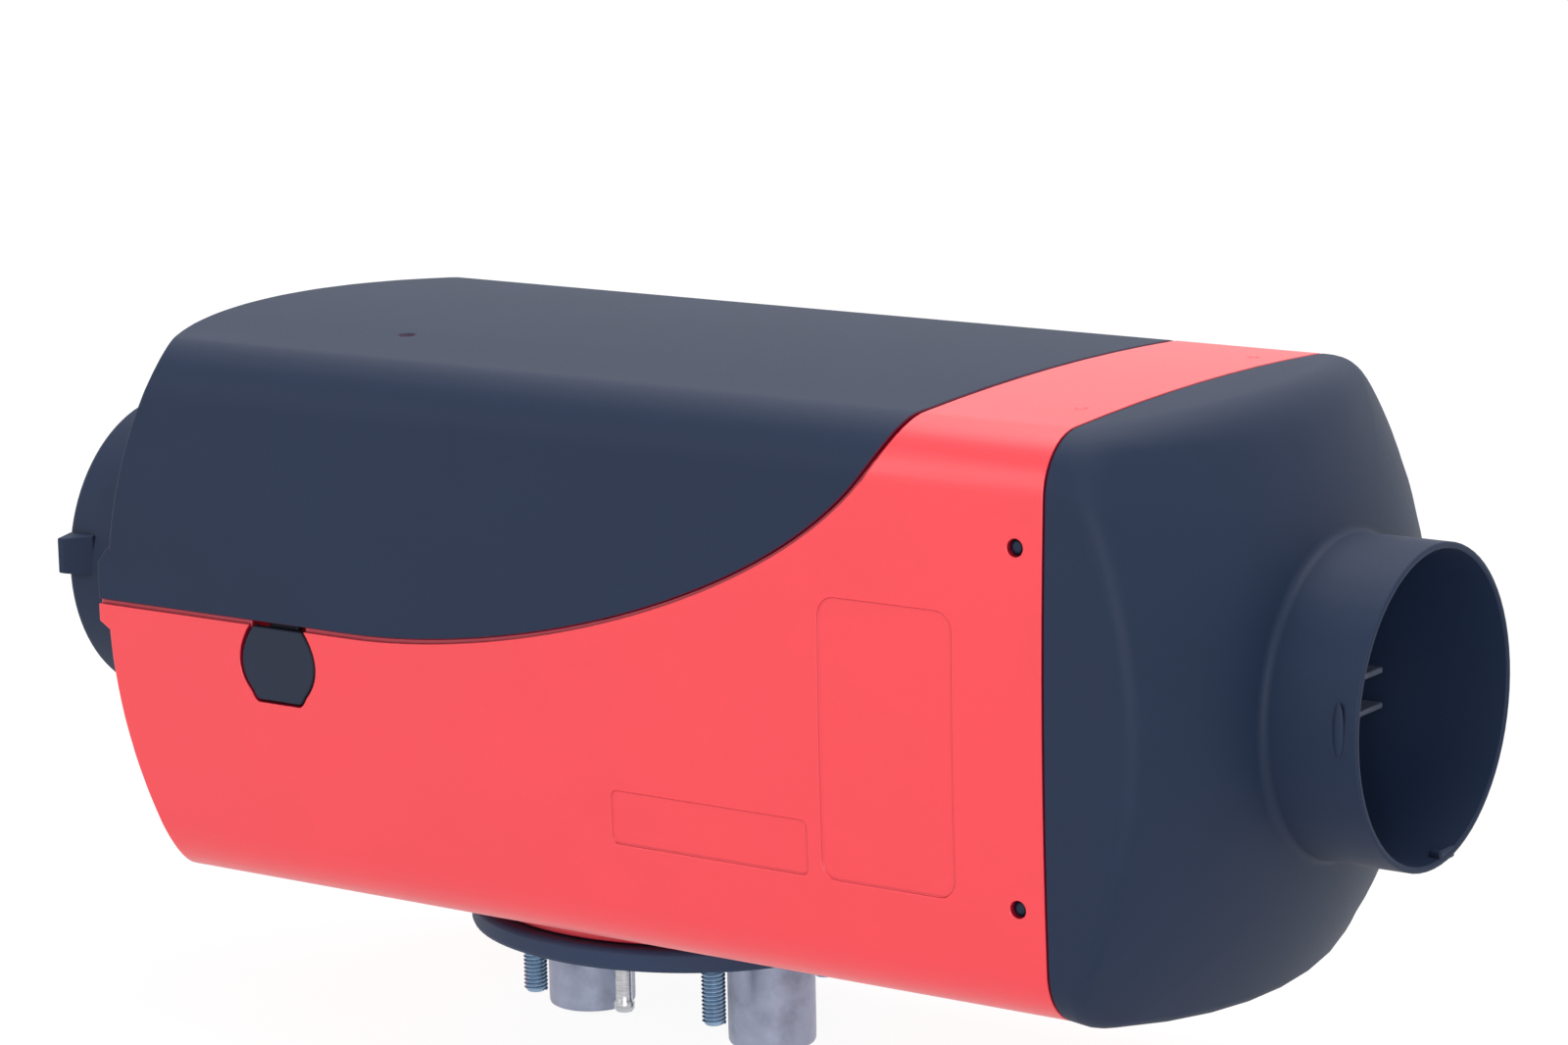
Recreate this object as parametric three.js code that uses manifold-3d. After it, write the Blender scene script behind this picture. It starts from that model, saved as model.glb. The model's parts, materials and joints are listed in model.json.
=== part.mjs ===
// Diesel air heater: a finned burner blown by a fan in a two-part plastic casing, with a round
// warm-air outlet at one end, a grilled intake at the other and its pipes and studs underneath.
// Units are millimetres. X runs along the air axis towards the outlet, Z is up, and the finished
// part's origin is the middle of the flange gasket's underside. Every piece is drawn about the air
// axis (y = 0, z = 0), and the group at the end lifts them all by the height of that axis.
import * as THREE from 'three';
import { mergeVertices } from 'three/addons/utils/BufferGeometryUtils.js';
import Module from 'manifold-3d';

const wasm = await Module();
wasm.setup();

// ---------------------------------------------------------------- driving dimensions
// Clearances
const seatGap = 0.3; // between pieces that rest on each other
const slideGap = 0.5; // around pieces that slide in or swing
const runGap = 0.12; // between the turning shaft and its bearings
const fuse = 0.6; // how far a joined feature reaches into its carrier

// Casing section, measured from the air axis
const casingHalfWidth = 70;
const casingTop = 69.5;
const casingBottom = 70;
const sideCrown = 1.3;
const topCrown = 1.6;
const floorCrown = 2;
const topCorner = 13.5;
const bottomCorner = 15;
const wall = 2.5;
const inletRadius = 129; // of the sphere that the inlet end is cut to
const inletApexX = -144.6;
const outletRadius = 120.6; // of the outlet hood's dome
const outletApexX = 195.5;
const hoodJointX = 151;

// Seam between the cover and the lower shell, seen from the side
const seamLevel = 1;
const seamLevelEndX = -46;
const seamLevelHandle = 57.6;
const seamTopX = 111.2;
const seamRiseHandle = 41.9;
const seamRiseAngle = THREE.MathUtils.degToRad(70.2);
const seamGap = 0.7;
const lipThickness = 1.5;
const lipRise = 4;
const lipRoot = 6;
const lugReach = 3.2; // how far the locating lugs stand out of the domed end
const lugTop = 11;
const lugBottom = -4;
const lugSlope = 4;
const dimpleRadius = 2;
const dimpleDepth = 0.5;
const dimpleX = -56;
const dimpleY = -31.5;

// Recessed fields on the front of the lower shell
const fieldDepth = 0.4;
const fieldCorner = 4.5;
const tallFieldX = 91.6;
const tallFieldWidth = 35.9;
const tallFieldHeight = 66;
const fieldBottom = -40;
const longFieldX = 32.1;
const longFieldWidth = 55.4;
const longFieldHeight = 13;

// Outlet hood
const collarRadius = 37.5;
const collarWall = 2.7;
const collarEndX = 211.5;
const rimRound = 1;
const edgeRound = 8;
const collarFillet = 5;
const flankShare = 0.8; // of a short flank, the most that the edge rounding takes
const rimLugY = 11.5; // a small lug inside the rim, right of its lowest point
const rimLugWidth = 9;
const rimLugReach = 1.6;
const rimLugLength = 5;
const skirtDepth = 14;
const skirtThickness = 2.2;
const snapHoleRadius = 2.05;
const snapPegGap = 0.35;
const snapInset = 7; // from the hood joint
const snapSideHeight = 41;
const snapSideRise = 1.2; // of the pair's middle above the air axis
const snapTopOffset = 39;
const bumpLength = 10.5;
const bumpHeight = 1.1;
const bumpInset = 4.5; // from the collar's end
const bumpRise = 2.2;

// Inlet hood and intake grille
const hoodRecess = 1;
const inletSkirtX = -92;
const inletCollarEndX = -163;
const shroudThickness = 2;
const shroudEndX = -110;
const grilleFace = 2.8;
const grilleWall = 2.2;
const grilleRound = 2.2;
const grilleRings = 3;
const grilleBar = 2;
const grilleSpokes = 6;
const grilleBoss = 6;
const tabReach = 5.6;
const tabHeight = 10.4;
const tabTipHeight = 7.6;
const tabLength = 9;
const tabZ = 4;

// Latches in the sides of the lower shell
const latchX = -69;
const latchTop = 0.2;
const latchBottom = -18.2;
const latchTopWidth = 15.6;
const latchMidWidth = 23;
const latchBottomWidth = 16.4;
const latchThickness = 2.2;
const latchCorner = 2;
const latchGap = 0.6;
const latchTravel = 1.8; // at its top edge, pressed in
const latchPinRadius = 1.1;
const latchPinRise = 2.4; // pin above the latch's bottom edge
const latchTongueWidth = 9;
const latchTongueRise = 5;
const latchTongueThickness = 1.4;
const pocketWall = 1.3;

// Flange under the casing
const plinthHeight = 4;
const plinthRim = 4.2; // gasket beyond the plinth
const gasketHalfLength = 54.3;
const gasketHalfWidth = 48;
const gasketThickness = 5.7;
const footHalfLength = 44;
const footHalfWidth = 37.5;
const footLedge = 4;
const footLedgeHeight = 7;
const stubRadius = 11;
const stubWall = 2.4;
const exhaustStubDrop = 27.5; // below the gasket
const airStubDrop = 26;
const stubX = 28;
const studX = 27.5;
const studY = 24;
const studRadius = 3;
const studDrop = 17; // below the gasket
const studDepth = 12; // inside the foot

// Heat exchanger
const exchangerFaceX = -50;
const exchangerRadius = 41;
const exchangerWall = 4.5;
const exchangerFlangeRim = 0.5; // beyond the screws' circle
const exchangerFlangeThickness = 6.6;
const exchangerNoseX = 158;
const exchangerNoseLength = 22;
const finPitch = 7.5;
const finThickness = 2.2;
const finInset = 8.5; // from the outside of the casing
const finNoseX = 174;
const finRunFromRim = 4; // how far behind the core's edge a fin starts
const lastCoreFin = 3; // fins each side of the middle that stand on the core itself
const cornerFins = 3; // fins above those, carried by the outermost upright
const airChannelRadius = 7;
const airChannelBore = 4.8;

// Burner, glow plug and sensor
const burnerGasketThickness = 1.2;
const burnerFlangeLap = 3; // beyond the exchanger's core
const burnerFlangeThickness = 3;
const burnerRadius = 29;
const burnerWall = 1.6;
const burnerEndX = 70;
const burnerAirEye = 9;
const burnerHoleRadius = 2;
const burnerHoles = 8;
const burnerHoleX = 20;
const glowX = -36;
const glowBossRadius = 9;
const glowBossTop = 53;
const glowBodyRadius = 5;
const glowBodyLength = 12;
const glowHexRadius = 6.4;
const glowHexHeight = 5;
const glowPinRadius = 2;
const glowPinHeight = 4;
const glowRodRadius = 2.4;
const glowRodEnd = 17; // above the air axis
const screenWall = 0.8;
const screenLength = 9;
const sensorX = 42;
const sensorLength = 16;
const sensorWidth = 11;
const sensorHeight = 5;
const sensorPadTop = 46;
const clipThickness = 0.8;
const clipWidth = 7;
const fuelTubeRadius = 2.1;
const fuelTubeY = -22.5;
const fuelTubeX = -1;
const fuelTubeDrop = 18.5; // below the gasket
const fuelTubeBend = 8;
const fuelRunGap = 0.9; // below the exchanger's flange
const fuelNippleRadius = 2.6;
const fuelNippleLength = 5;

// Combustion-air blower
const blowerRadius = 46;
const blowerWall = 3.5;
const blowerBack = 3;
const blowerDepth = 17;
const blowerCoverThickness = 3.6;
const blowerEye = 12;
const blowerHubRadius = 12;
const blowerHubDepth = 7;
const bearingOuter = 8;
const bearingWidth = 5;
const screwOffset = 3.5; // screws outside the blower's cup
const screwRadius = 2;
const screwHeadRadius = 3.8;
const screwHeadHeight = 3.4;
const screwEarRadius = 5;
const screwEarDepth = 5;
const screwGrip = 8; // length inside the exchanger's ear
const wheelRadius = 34;
const wheelPlate = 1.5;
const wheelHubRadius = 7;
const wheelBladeHeight = 5.6;
const wheelBladeThickness = 1.3;
const wheelBladeRoot = 15;
const wheelBladeSweep = THREE.MathUtils.degToRad(34);
const wheelBlades = 12;
const wheelSetback = 1.6; // behind the blower's cover

// Motor
const motorRadius = 27;
const motorWall = 2;
const motorLength = 31.7;
const motorFlangeRadius = 32;
const motorFlangeThickness = 3;
const motorHubRadius = 11;
const magnetThickness = 5;
const magnetLength = 18;
const armatureRadius = 18;
const armatureLength = 16;
const armatureSlots = 5;
const armatureSlotWidth = 3;
const shaftRadius = 2.9;
const shaftTipX = -138;

// Hot-air impeller
const fanRadius = 41.8;
const fanHubFront = 12;
const fanHubBack = 25;
const fanLength = 19;
const fanBlades = 9;
const fanBladeThickness = 1.8;
const fanLead = THREE.MathUtils.degToRad(46); // how far a blade turns round the hub
const fanCamber = THREE.MathUtils.degToRad(7);
const fanBladeSetback = 0.8; // of a blade's edges from the ends of the hub
const fanBladeSwell = 0.6; // how much thicker a blade is in its middle
const fanBladeStations = [0, 0.35, 0.7, 1];
const fanToMotor = 3;
const fanNutHalfWidth = 5;
const fanNutHeight = 4;

// Control unit and cable outlet
const controlLength = 52;
const controlWidth = 66;
const controlHeight = 13;
const controlWall = 1.8;
const controlRise = 2.5; // above the blower's cup
const saddleDip = 9; // of the saddle's feet below the top of the cup
const controlFrontX = -54;
const controlLidThickness = 2;
const controlSaddleWidth = 9;
const controlSaddleReach = 22;
const boardThickness = 1.6;
const boardRise = 3;
const grommetX = -80;
const grommetY = 26;
const grommetRadius = 7;
const grommetBore = 3.6;
const grommetFlange = 2.6;
const grommetFlangeThickness = 1.8;

// Facets
const sectionDivisions = 3; // along each crown, and half of those round each corner
const roundFacets = 36; // on what shows
const innerFacets = 18; // on what the casing hides
const smallFacets = 12;
const tinyFacets = 8;
const pipeDivisions = 4; // half of the sides of a bent tube

// ---------------------------------------------------------------- worked-out places
const gasketTop = -casingBottom - plinthHeight - seatGap;
const gasketBottom = gasketTop - gasketThickness;
const axisHeight = -gasketBottom;
const footBottom = -casingBottom - plinthHeight;
const shellFloor = -casingBottom + wall;
const burnerGasketX = exchangerFaceX - seatGap;
const burnerFlangeX = burnerGasketX - burnerGasketThickness - seatGap;
const blowerFaceX = burnerFlangeX - burnerFlangeThickness - seatGap;
const housingX = blowerFaceX - blowerCoverThickness - seatGap;
const housingBackX = housingX - blowerDepth;
const motorX = housingBackX - seatGap;
const motorBackX = motorX - motorLength;
const fanBackX = motorBackX - fanToMotor;
const fanFrontX = fanBackX - fanLength;
const channelZ = -(blowerRadius + slideGap + airChannelRadius);
const controlBottomZ = blowerRadius + controlRise;
const screwCircle = blowerRadius + screwOffset;
const exchangerFlangeRadius = screwCircle + exchangerFlangeRim;
const burnerFlangeRadius = exchangerRadius + burnerFlangeLap;
const fuelRunZ = -(exchangerFlangeRadius + fuelRunGap + fuelTubeRadius);
const stubs = [
  { x: -stubX, end: gasketBottom - airStubDrop },
  { x: stubX, end: gasketBottom - exhaustStubDrop },
];
const inletCentreX = inletApexX + inletRadius;
const outletCentreX = outletApexX - outletRadius;
const collarBore = collarRadius - collarWall;
const grilleBore = collarRadius + seatGap;
const grilleRadius = grilleBore + grilleWall;
const grilleEndX = inletCollarEndX - seatGap - grilleFace;
const far = 400; // beyond everything, for cutters
const latchPinZ = latchBottom + latchPinRise;
const latchPinY = casingHalfWidth - latchThickness - latchPinRadius;
const tongueOuter = casingHalfWidth - wall - slideGap;
const tongueInner = tongueOuter - latchTongueThickness;
const tongueTravel = (latchTravel * (latchTop + latchTongueRise - latchPinZ)) / (latchTop - latchPinZ);
const pocketInner = tongueInner - tongueTravel - slideGap;

// The crowned floor's outside at a distance y from the middle.
const floorAt = (y) => -casingBottom + floorCrown * (y / (casingHalfWidth - sideCrown - bottomCorner)) ** 2;

// ---------------------------------------------------------------- tools
const turnToX = new THREE.Matrix4().makeBasis(
  new THREE.Vector3(0, 1, 0), new THREE.Vector3(0, 0, 1), new THREE.Vector3(1, 0, 0));
const turnToY = new THREE.Matrix4().makeBasis(
  new THREE.Vector3(1, 0, 0), new THREE.Vector3(0, 0, 1), new THREE.Vector3(0, -1, 0));

// A closed mesh as a solid, with its faces turned outwards if its winding came out reversed.
function solidOf(geometry) {
  const bare = geometry.clone();
  bare.deleteAttribute('normal');
  bare.deleteAttribute('uv');
  const merged = mergeVertices(bare);
  const points = Float32Array.from(merged.attributes.position.array);
  const corners = [];
  const at = (k) => new THREE.Vector3().fromArray(points, 3 * k);
  let volume = 0;
  for (let k = 0; k < merged.index.count; k += 3) {
    const [a, b, c] = [0, 1, 2].map((step) => merged.index.getX(k + step));
    if (a === b || b === c || c === a) continue;
    corners.push([a, b, c]);
    volume += at(a).dot(at(b).cross(at(c)));
  }
  const triVerts = Uint32Array.from(corners.flatMap(([a, b, c]) => (volume < 0 ? [a, c, b] : [a, b, c])));
  return new wasm.Manifold(new wasm.Mesh({ numProp: 3, vertProperties: points, triVerts }));
}

const joined = (first, ...rest) => rest.reduce((sum, next) => sum.add(next), first);
const cutBy = (body, ...tools) => tools.reduce((sum, tool) => sum.subtract(tool), body);

// Prisms: a shape in (y, z) pushed along X, in (x, z) along Y, or in (x, y) along Z.
function prismX(shape, fromX, toX) {
  const geometry = new THREE.ExtrudeGeometry(shape,
    { depth: toX - fromX, bevelEnabled: false, curveSegments: sectionDivisions });
  return solidOf(geometry.translate(0, 0, fromX).applyMatrix4(turnToX));
}

function prismY(shape, fromY, toY, curveSegments = sectionDivisions) {
  const geometry = new THREE.ExtrudeGeometry(shape, { depth: toY - fromY, bevelEnabled: false, curveSegments });
  return solidOf(geometry.translate(0, 0, -toY).applyMatrix4(turnToY));
}

function prismZ(shape, fromZ, toZ, curveSegments = sectionDivisions) {
  const geometry = new THREE.ExtrudeGeometry(shape, { depth: toZ - fromZ, bevelEnabled: false, curveSegments });
  return solidOf(geometry.translate(0, 0, fromZ));
}

function box(fromX, toX, fromY, toY, fromZ, toZ) {
  const geometry = new THREE.BoxGeometry(toX - fromX, toY - fromY, toZ - fromZ);
  return solidOf(geometry.translate((fromX + toX) / 2, (fromY + toY) / 2, (fromZ + toZ) / 2));
}

// A profile of [x, radius] pairs turned round the air axis. It starts and ends on the axis.
function turnedX(profile, facets = roundFacets) {
  const points = profile.map(([x, radius]) => new THREE.Vector2(radius, x));
  return solidOf(new THREE.LatheGeometry(points, facets).rotateZ(-Math.PI / 2));
}

// A profile of [z, radius] pairs turned round an upright through (x, y).
function turnedZ(profile, x = 0, y = 0, facets = smallFacets) {
  const points = profile.map(([z, radius]) => new THREE.Vector2(radius, z));
  return solidOf(new THREE.LatheGeometry(points, facets).rotateX(Math.PI / 2).translate(x, y, 0));
}

const rodX = (fromX, toX, radius, facets = innerFacets) =>
  turnedX([[fromX, 0], [fromX, radius], [toX, radius], [toX, 0]], facets);
const ringX = (fromX, toX, bore, radius, facets = innerFacets) =>
  rodX(fromX, toX, radius, facets).subtract(rodX(fromX - fuse, toX + fuse, bore, facets));
const rodZ = (fromZ, toZ, radius, x, y, facets = smallFacets) =>
  turnedZ([[fromZ, 0], [fromZ, radius], [toZ, radius], [toZ, 0]], x, y, facets);
const rodY = (fromY, toY, radius, x, z, facets = smallFacets) =>
  rodZ(-toY, -fromY, radius, 0, 0, facets).rotate([90, 0, 0]).translate([x, 0, z]);

const ellipse = (halfX, halfY) =>
  new THREE.Shape().absellipse(0, 0, halfX, halfY, 0, 2 * Math.PI, false, 0);
const ellipseRod = (fromZ, toZ, halfX, halfY, facets = innerFacets) =>
  prismZ(ellipse(halfX, halfY), fromZ, toZ, facets / 2);

function roundedRectangle(left, bottom, width, height, corner) {
  const [right, top] = [left + width, bottom + height];
  const shape = new THREE.Shape();
  shape.moveTo(left + corner, bottom);
  shape.lineTo(right - corner, bottom);
  shape.absarc(right - corner, bottom + corner, corner, -Math.PI / 2, 0, false);
  shape.absarc(right - corner, top - corner, corner, 0, Math.PI / 2, false);
  shape.absarc(left + corner, top - corner, corner, Math.PI / 2, Math.PI, false);
  shape.absarc(left + corner, bottom + corner, corner, Math.PI, 1.5 * Math.PI, false);
  return shape;
}

// A tube of round section along a curve.
function pipe(curve, radius, steps) {
  const round = new THREE.Shape().absarc(0, 0, radius, 0, 2 * Math.PI, false);
  return solidOf(new THREE.ExtrudeGeometry(round,
    { steps, curveSegments: pipeDivisions, bevelEnabled: false, extrudePath: curve }));
}

// Skins rings of equal length. A loop of rings closes on its first ring, and an open loft gets
// flat ends.
function skin(rings, isLoop) {
  const size = rings[0].length;
  const positions = rings.flat().flatMap((point) => [point.x, point.y, point.z]);
  const index = [];
  const bands = isLoop ? rings.length : rings.length - 1;
  for (let band = 0; band < bands; band += 1) {
    const next = (band + 1) % rings.length;
    for (let k = 0; k < size; k += 1) {
      const step = (k + 1) % size;
      const [a, b, c, d] = [band * size + k, band * size + step, next * size + step, next * size + k];
      index.push(a, b, c, a, c, d);
    }
  }
  if (!isLoop) {
    const last = (rings.length - 1) * size;
    for (let k = 1; k < size - 1; k += 1) index.push(0, k + 1, k, last, last + k, last + k + 1);
  }
  const geometry = new THREE.BufferGeometry();
  geometry.setAttribute('position', new THREE.Float32BufferAttribute(positions, 3));
  geometry.setIndex(index);
  return solidOf(geometry);
}

// ---------------------------------------------------------------- the casing's form
// The casing's cross-section in (y, z), drawn in by an inset: four crowned sides and round corners.
function casingSection(inset = 0) {
  const side = casingHalfWidth - sideCrown - inset;
  const roof = casingTop - topCrown - inset;
  const floor = -casingBottom + floorCrown + inset;
  const upper = Math.max(topCorner - inset, fuse);
  const lower = Math.max(bottomCorner - inset, fuse);
  const middle = (roof - upper + floor + lower) / 2;
  const shape = new THREE.Shape();
  shape.moveTo(-side + lower, floor);
  shape.quadraticCurveTo(0, floor - 2 * floorCrown, side - lower, floor);
  shape.absarc(side - lower, floor + lower, lower, -Math.PI / 2, 0, false);
  shape.quadraticCurveTo(side + 2 * sideCrown, middle, side, roof - upper);
  shape.absarc(side - upper, roof - upper, upper, 0, Math.PI / 2, false);
  shape.quadraticCurveTo(0, roof + 2 * topCrown, -side + upper, roof);
  shape.absarc(-side + upper, roof - upper, upper, Math.PI / 2, Math.PI, false);
  shape.quadraticCurveTo(-side - 2 * sideCrown, middle, -side, floor + lower);
  shape.absarc(-side + lower, floor + lower, lower, Math.PI, 1.5 * Math.PI, false);
  return shape;
}

// The same outline as points, without the closing one.
function sectionPoints(inset) {
  const points = casingSection(inset).getPoints(sectionDivisions);
  if (points[0].distanceTo(points[points.length - 1]) < seatGap) points.pop();
  return points;
}

// As many points on a circle, each facing its point of the outline.
function circlePoints(radius) {
  const count = sectionPoints(0).length;
  const halfFloor = sectionDivisions / 2;
  return Array.from({ length: count }, (_, k) => {
    const angle = -Math.PI / 2 + (2 * Math.PI * (k - halfFloor)) / count;
    return new THREE.Vector2(radius * Math.cos(angle), radius * Math.sin(angle));
  });
}

const layer = (inset, thickness, fromX, toX) =>
  prismX(casingSection(inset), fromX, toX)
    .subtract(prismX(casingSection(inset + thickness), fromX - fuse, toX + fuse));

// Everything on the casing's side of the domed inlet end.
function domedSpace() {
  const rim = Math.hypot(casingHalfWidth, casingTop);
  const steps = 3;
  const profile = [[inletApexX, 0]];
  for (let k = 0; k <= steps; k += 1) {
    const r = THREE.MathUtils.lerp(rim / 2, rim, k / steps);
    profile.push([inletCentreX - Math.sqrt(inletRadius ** 2 - r * r), r]);
  }
  profile.push([far, rim], [far, 0]);
  return turnedX(profile, roundFacets);
}

// The locating lugs that both shells carry where the seam meets the domed end.
function endLugs() {
  const atSide = Math.sqrt(inletRadius ** 2 - casingHalfWidth ** 2);
  const edgeX = inletCentreX - atSide;
  const tipX = edgeX - lugReach;
  const shape = new THREE.Shape();
  shape.moveTo(tipX, lugBottom);
  shape.lineTo(tipX, lugTop);
  shape.lineTo(edgeX, lugTop + lugSlope);
  shape.lineTo(edgeX + lugReach, lugTop + lugSlope);
  shape.lineTo(edgeX + lugReach, lugBottom - lugSlope / 2);
  shape.lineTo(edgeX, lugBottom - lugSlope / 2);
  return prismY(shape, -far, far);
}

// The space above the seam, moved up and to the left of it by shift.
function aboveSeam(shift) {
  const rise = new THREE.Vector2(Math.cos(seamRiseAngle), Math.sin(seamRiseAngle));
  const off = new THREE.Vector2(-rise.y, rise.x).multiplyScalar(shift);
  const end = new THREE.Vector2(seamTopX, casingTop - topCrown).add(off);
  const shape = new THREE.Shape();
  shape.moveTo(-far, seamLevel + shift);
  shape.lineTo(seamLevelEndX, seamLevel + shift);
  shape.bezierCurveTo(
    seamLevelEndX + seamLevelHandle, seamLevel + shift,
    end.x - seamRiseHandle * rise.x, end.y - seamRiseHandle * rise.y,
    end.x, end.y);
  shape.lineTo(end.x, far);
  shape.lineTo(-far, far);
  return prismY(shape, -far, far, smallFacets);
}

const casingTube = () =>
  layer(0, wall, inletApexX, hoodJointX).intersect(domedSpace().add(endLugs()));

// ---------------------------------------------------------------- latches
// The barrel-shaped outline of a latch in (x, z), grown by a margin.
function latchOutline(margin) {
  const top = latchTop + margin;
  const bottom = latchBottom - margin;
  const middle = (latchTop + latchBottom) / 2;
  const corner = latchCorner + margin;
  const halfTop = latchTopWidth / 2 + margin;
  const halfLow = latchBottomWidth / 2 + margin;
  const bulge = latchMidWidth + 2 * margin - (halfTop + halfLow) / 2;
  const shape = new THREE.Shape();
  shape.moveTo(latchX - halfTop, top);
  shape.quadraticCurveTo(latchX - bulge, middle, latchX - halfLow, bottom + corner);
  shape.quadraticCurveTo(latchX - halfLow + corner / 2, bottom, latchX - halfLow + corner, bottom);
  shape.lineTo(latchX + halfLow - corner, bottom);
  shape.quadraticCurveTo(latchX + halfLow - corner / 2, bottom, latchX + halfLow, bottom + corner);
  shape.quadraticCurveTo(latchX + bulge, middle, latchX + halfTop, top);
  return shape;
}

// The pocket behind a latch: moulded in the lower shell, open to the latch's notch and at the top.
function latchPocket() {
  const half = latchMidWidth / 2 + latchGap + slideGap;
  const outer = box(latchX - half - pocketWall, latchX + half + pocketWall,
    pocketInner - pocketWall, casingHalfWidth - sideCrown - wall / 2,
    latchBottom - latchGap - pocketWall, seamLevel - seamGap);
  const inner = box(latchX - half, latchX + half, pocketInner, casingHalfWidth + wall,
    latchBottom - latchGap, far);
  return { outer, inner };
}

// A latch on the rear side (+Y). The front one is its mirror image.
function latchBody() {
  const outerFace = casingHalfWidth - seatGap / 2;
  const plate = prismY(latchOutline(0), outerFace - latchThickness, outerFace);
  const pinHalf = latchMidWidth / 2 + latchGap + slideGap + pocketWall / 2;
  const pin = rodX(latchX - pinHalf, latchX + pinHalf, latchPinRadius, tinyFacets)
    .translate([0, latchPinY, latchPinZ]);
  const tongueFoot = latchTop - latchTongueRise;
  const half = latchTongueWidth / 2;
  const tongue = box(latchX - half, latchX + half, tongueInner, tongueOuter,
    tongueFoot, latchTop + latchTongueRise);
  const bridge = box(latchX - half, latchX + half, tongueInner, outerFace - latchThickness / 2,
    tongueFoot, tongueFoot + latchTongueThickness);
  return joined(plate, pin, tongue, bridge);
}

const mirrorY = (solid) => solid.mirror([0, 1, 0]);

// ---------------------------------------------------------------- shells
function snapHoles(radius, fromInset, toInset) {
  const x = hoodJointX - snapInset;
  const flank = [-1, 1].map((end) => rodY(casingHalfWidth - toInset, casingHalfWidth - fromInset, radius,
    x, end * snapSideHeight + snapSideRise, tinyFacets));
  const roof = [-1, 1].map((end) => rodZ(casingTop - toInset, casingTop - fromInset - topCrown / 2, radius,
    x, end * snapTopOffset, tinyFacets));
  return joined(...flank, ...flank.map(mirrorY), ...roof);
}

// Two shallow bare fields whose floors follow the crown of the side.
function recessedFields() {
  const tall = roundedRectangle(tallFieldX, fieldBottom, tallFieldWidth, tallFieldHeight, fieldCorner);
  const long = roundedRectangle(longFieldX, fieldBottom, longFieldWidth, longFieldHeight, fieldCorner / 3);
  const within = prismX(casingSection(fieldDepth), longFieldX - fieldCorner, hoodJointX);
  return joined(prismY(tall, -far, 0), prismY(long, -far, 0)).subtract(within);
}

// The lip behind the seam: it rises from the lower shell and stands inside the cover's edge.
function seamLip() {
  const ring = layer(wall + seatGap, lipThickness, inletApexX, hoodJointX - skirtDepth - slideGap);
  const root = layer(wall - fuse, lipThickness + seatGap + fuse, inletApexX, hoodJointX - skirtDepth - slideGap);
  const behindHood = box(inletSkirtX + slideGap, far, -far, far, -far, far);
  const rising = ring.intersect(aboveSeam(-lipRoot)).subtract(aboveSeam(lipRise));
  const rooted = root.intersect(aboveSeam(-lipRoot)).subtract(aboveSeam(-seamGap));
  return joined(rising, rooted).intersect(behindHood);
}

function lowerShell() {
  const below = casingTube().subtract(aboveSeam(-seamGap / 2));
  const plinth = ellipseRod(footBottom, -casingBottom + (floorCrown + wall) / 2,
    gasketHalfLength - plinthRim, gasketHalfWidth - plinthRim, roundFacets);
  const aboveFloor = shellFloor + floorCrown + fuse;
  const footHole = ellipseRod(-far, aboveFloor, footHalfLength + slideGap, footHalfWidth + slideGap);
  const pocket = latchPocket();
  const notch = prismY(latchOutline(latchGap), casingHalfWidth - sideCrown - wall - fuse, far, sectionDivisions);
  const open = joined(pocket.inner.intersect(box(-far, far, 0, casingHalfWidth - sideCrown - wall, -far, far)),
    notch, lipGap(), pinHoles());
  const grommetHole = rodZ(-far, aboveFloor, grommetRadius + seatGap, grommetX, grommetY);
  const body = joined(below, seamLip(), plinth, pocket.outer, mirrorY(pocket.outer));
  return cutBy(body, footHole, open, mirrorY(open), grommetHole, recessedFields(),
    snapHoles(snapHoleRadius, -wall, wall + fuse + topCrown));
}

// The lip is cut away behind each latch, where its tongue swings in.
function lipGap() {
  const half = latchMidWidth / 2 + latchGap;
  return box(latchX - half, latchX + half, pocketInner, casingHalfWidth - wall,
    latchBottom, seamLevel + 2 * lipRise);
}

function pinHoles() {
  const half = latchMidWidth / 2 + latchGap + slideGap + pocketWall + fuse;
  return rodX(latchX - half, latchX + half, latchPinRadius + seatGap, tinyFacets)
    .translate([0, latchPinY, latchPinZ]);
}

function upperCover() {
  const dimple = rodZ(casingTop - dimpleDepth - topCrown / 4, far, dimpleRadius, dimpleX, dimpleY, tinyFacets);
  return casingTube().intersect(aboveSeam(seamGap / 2)).subtract(dimple);
}

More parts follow.
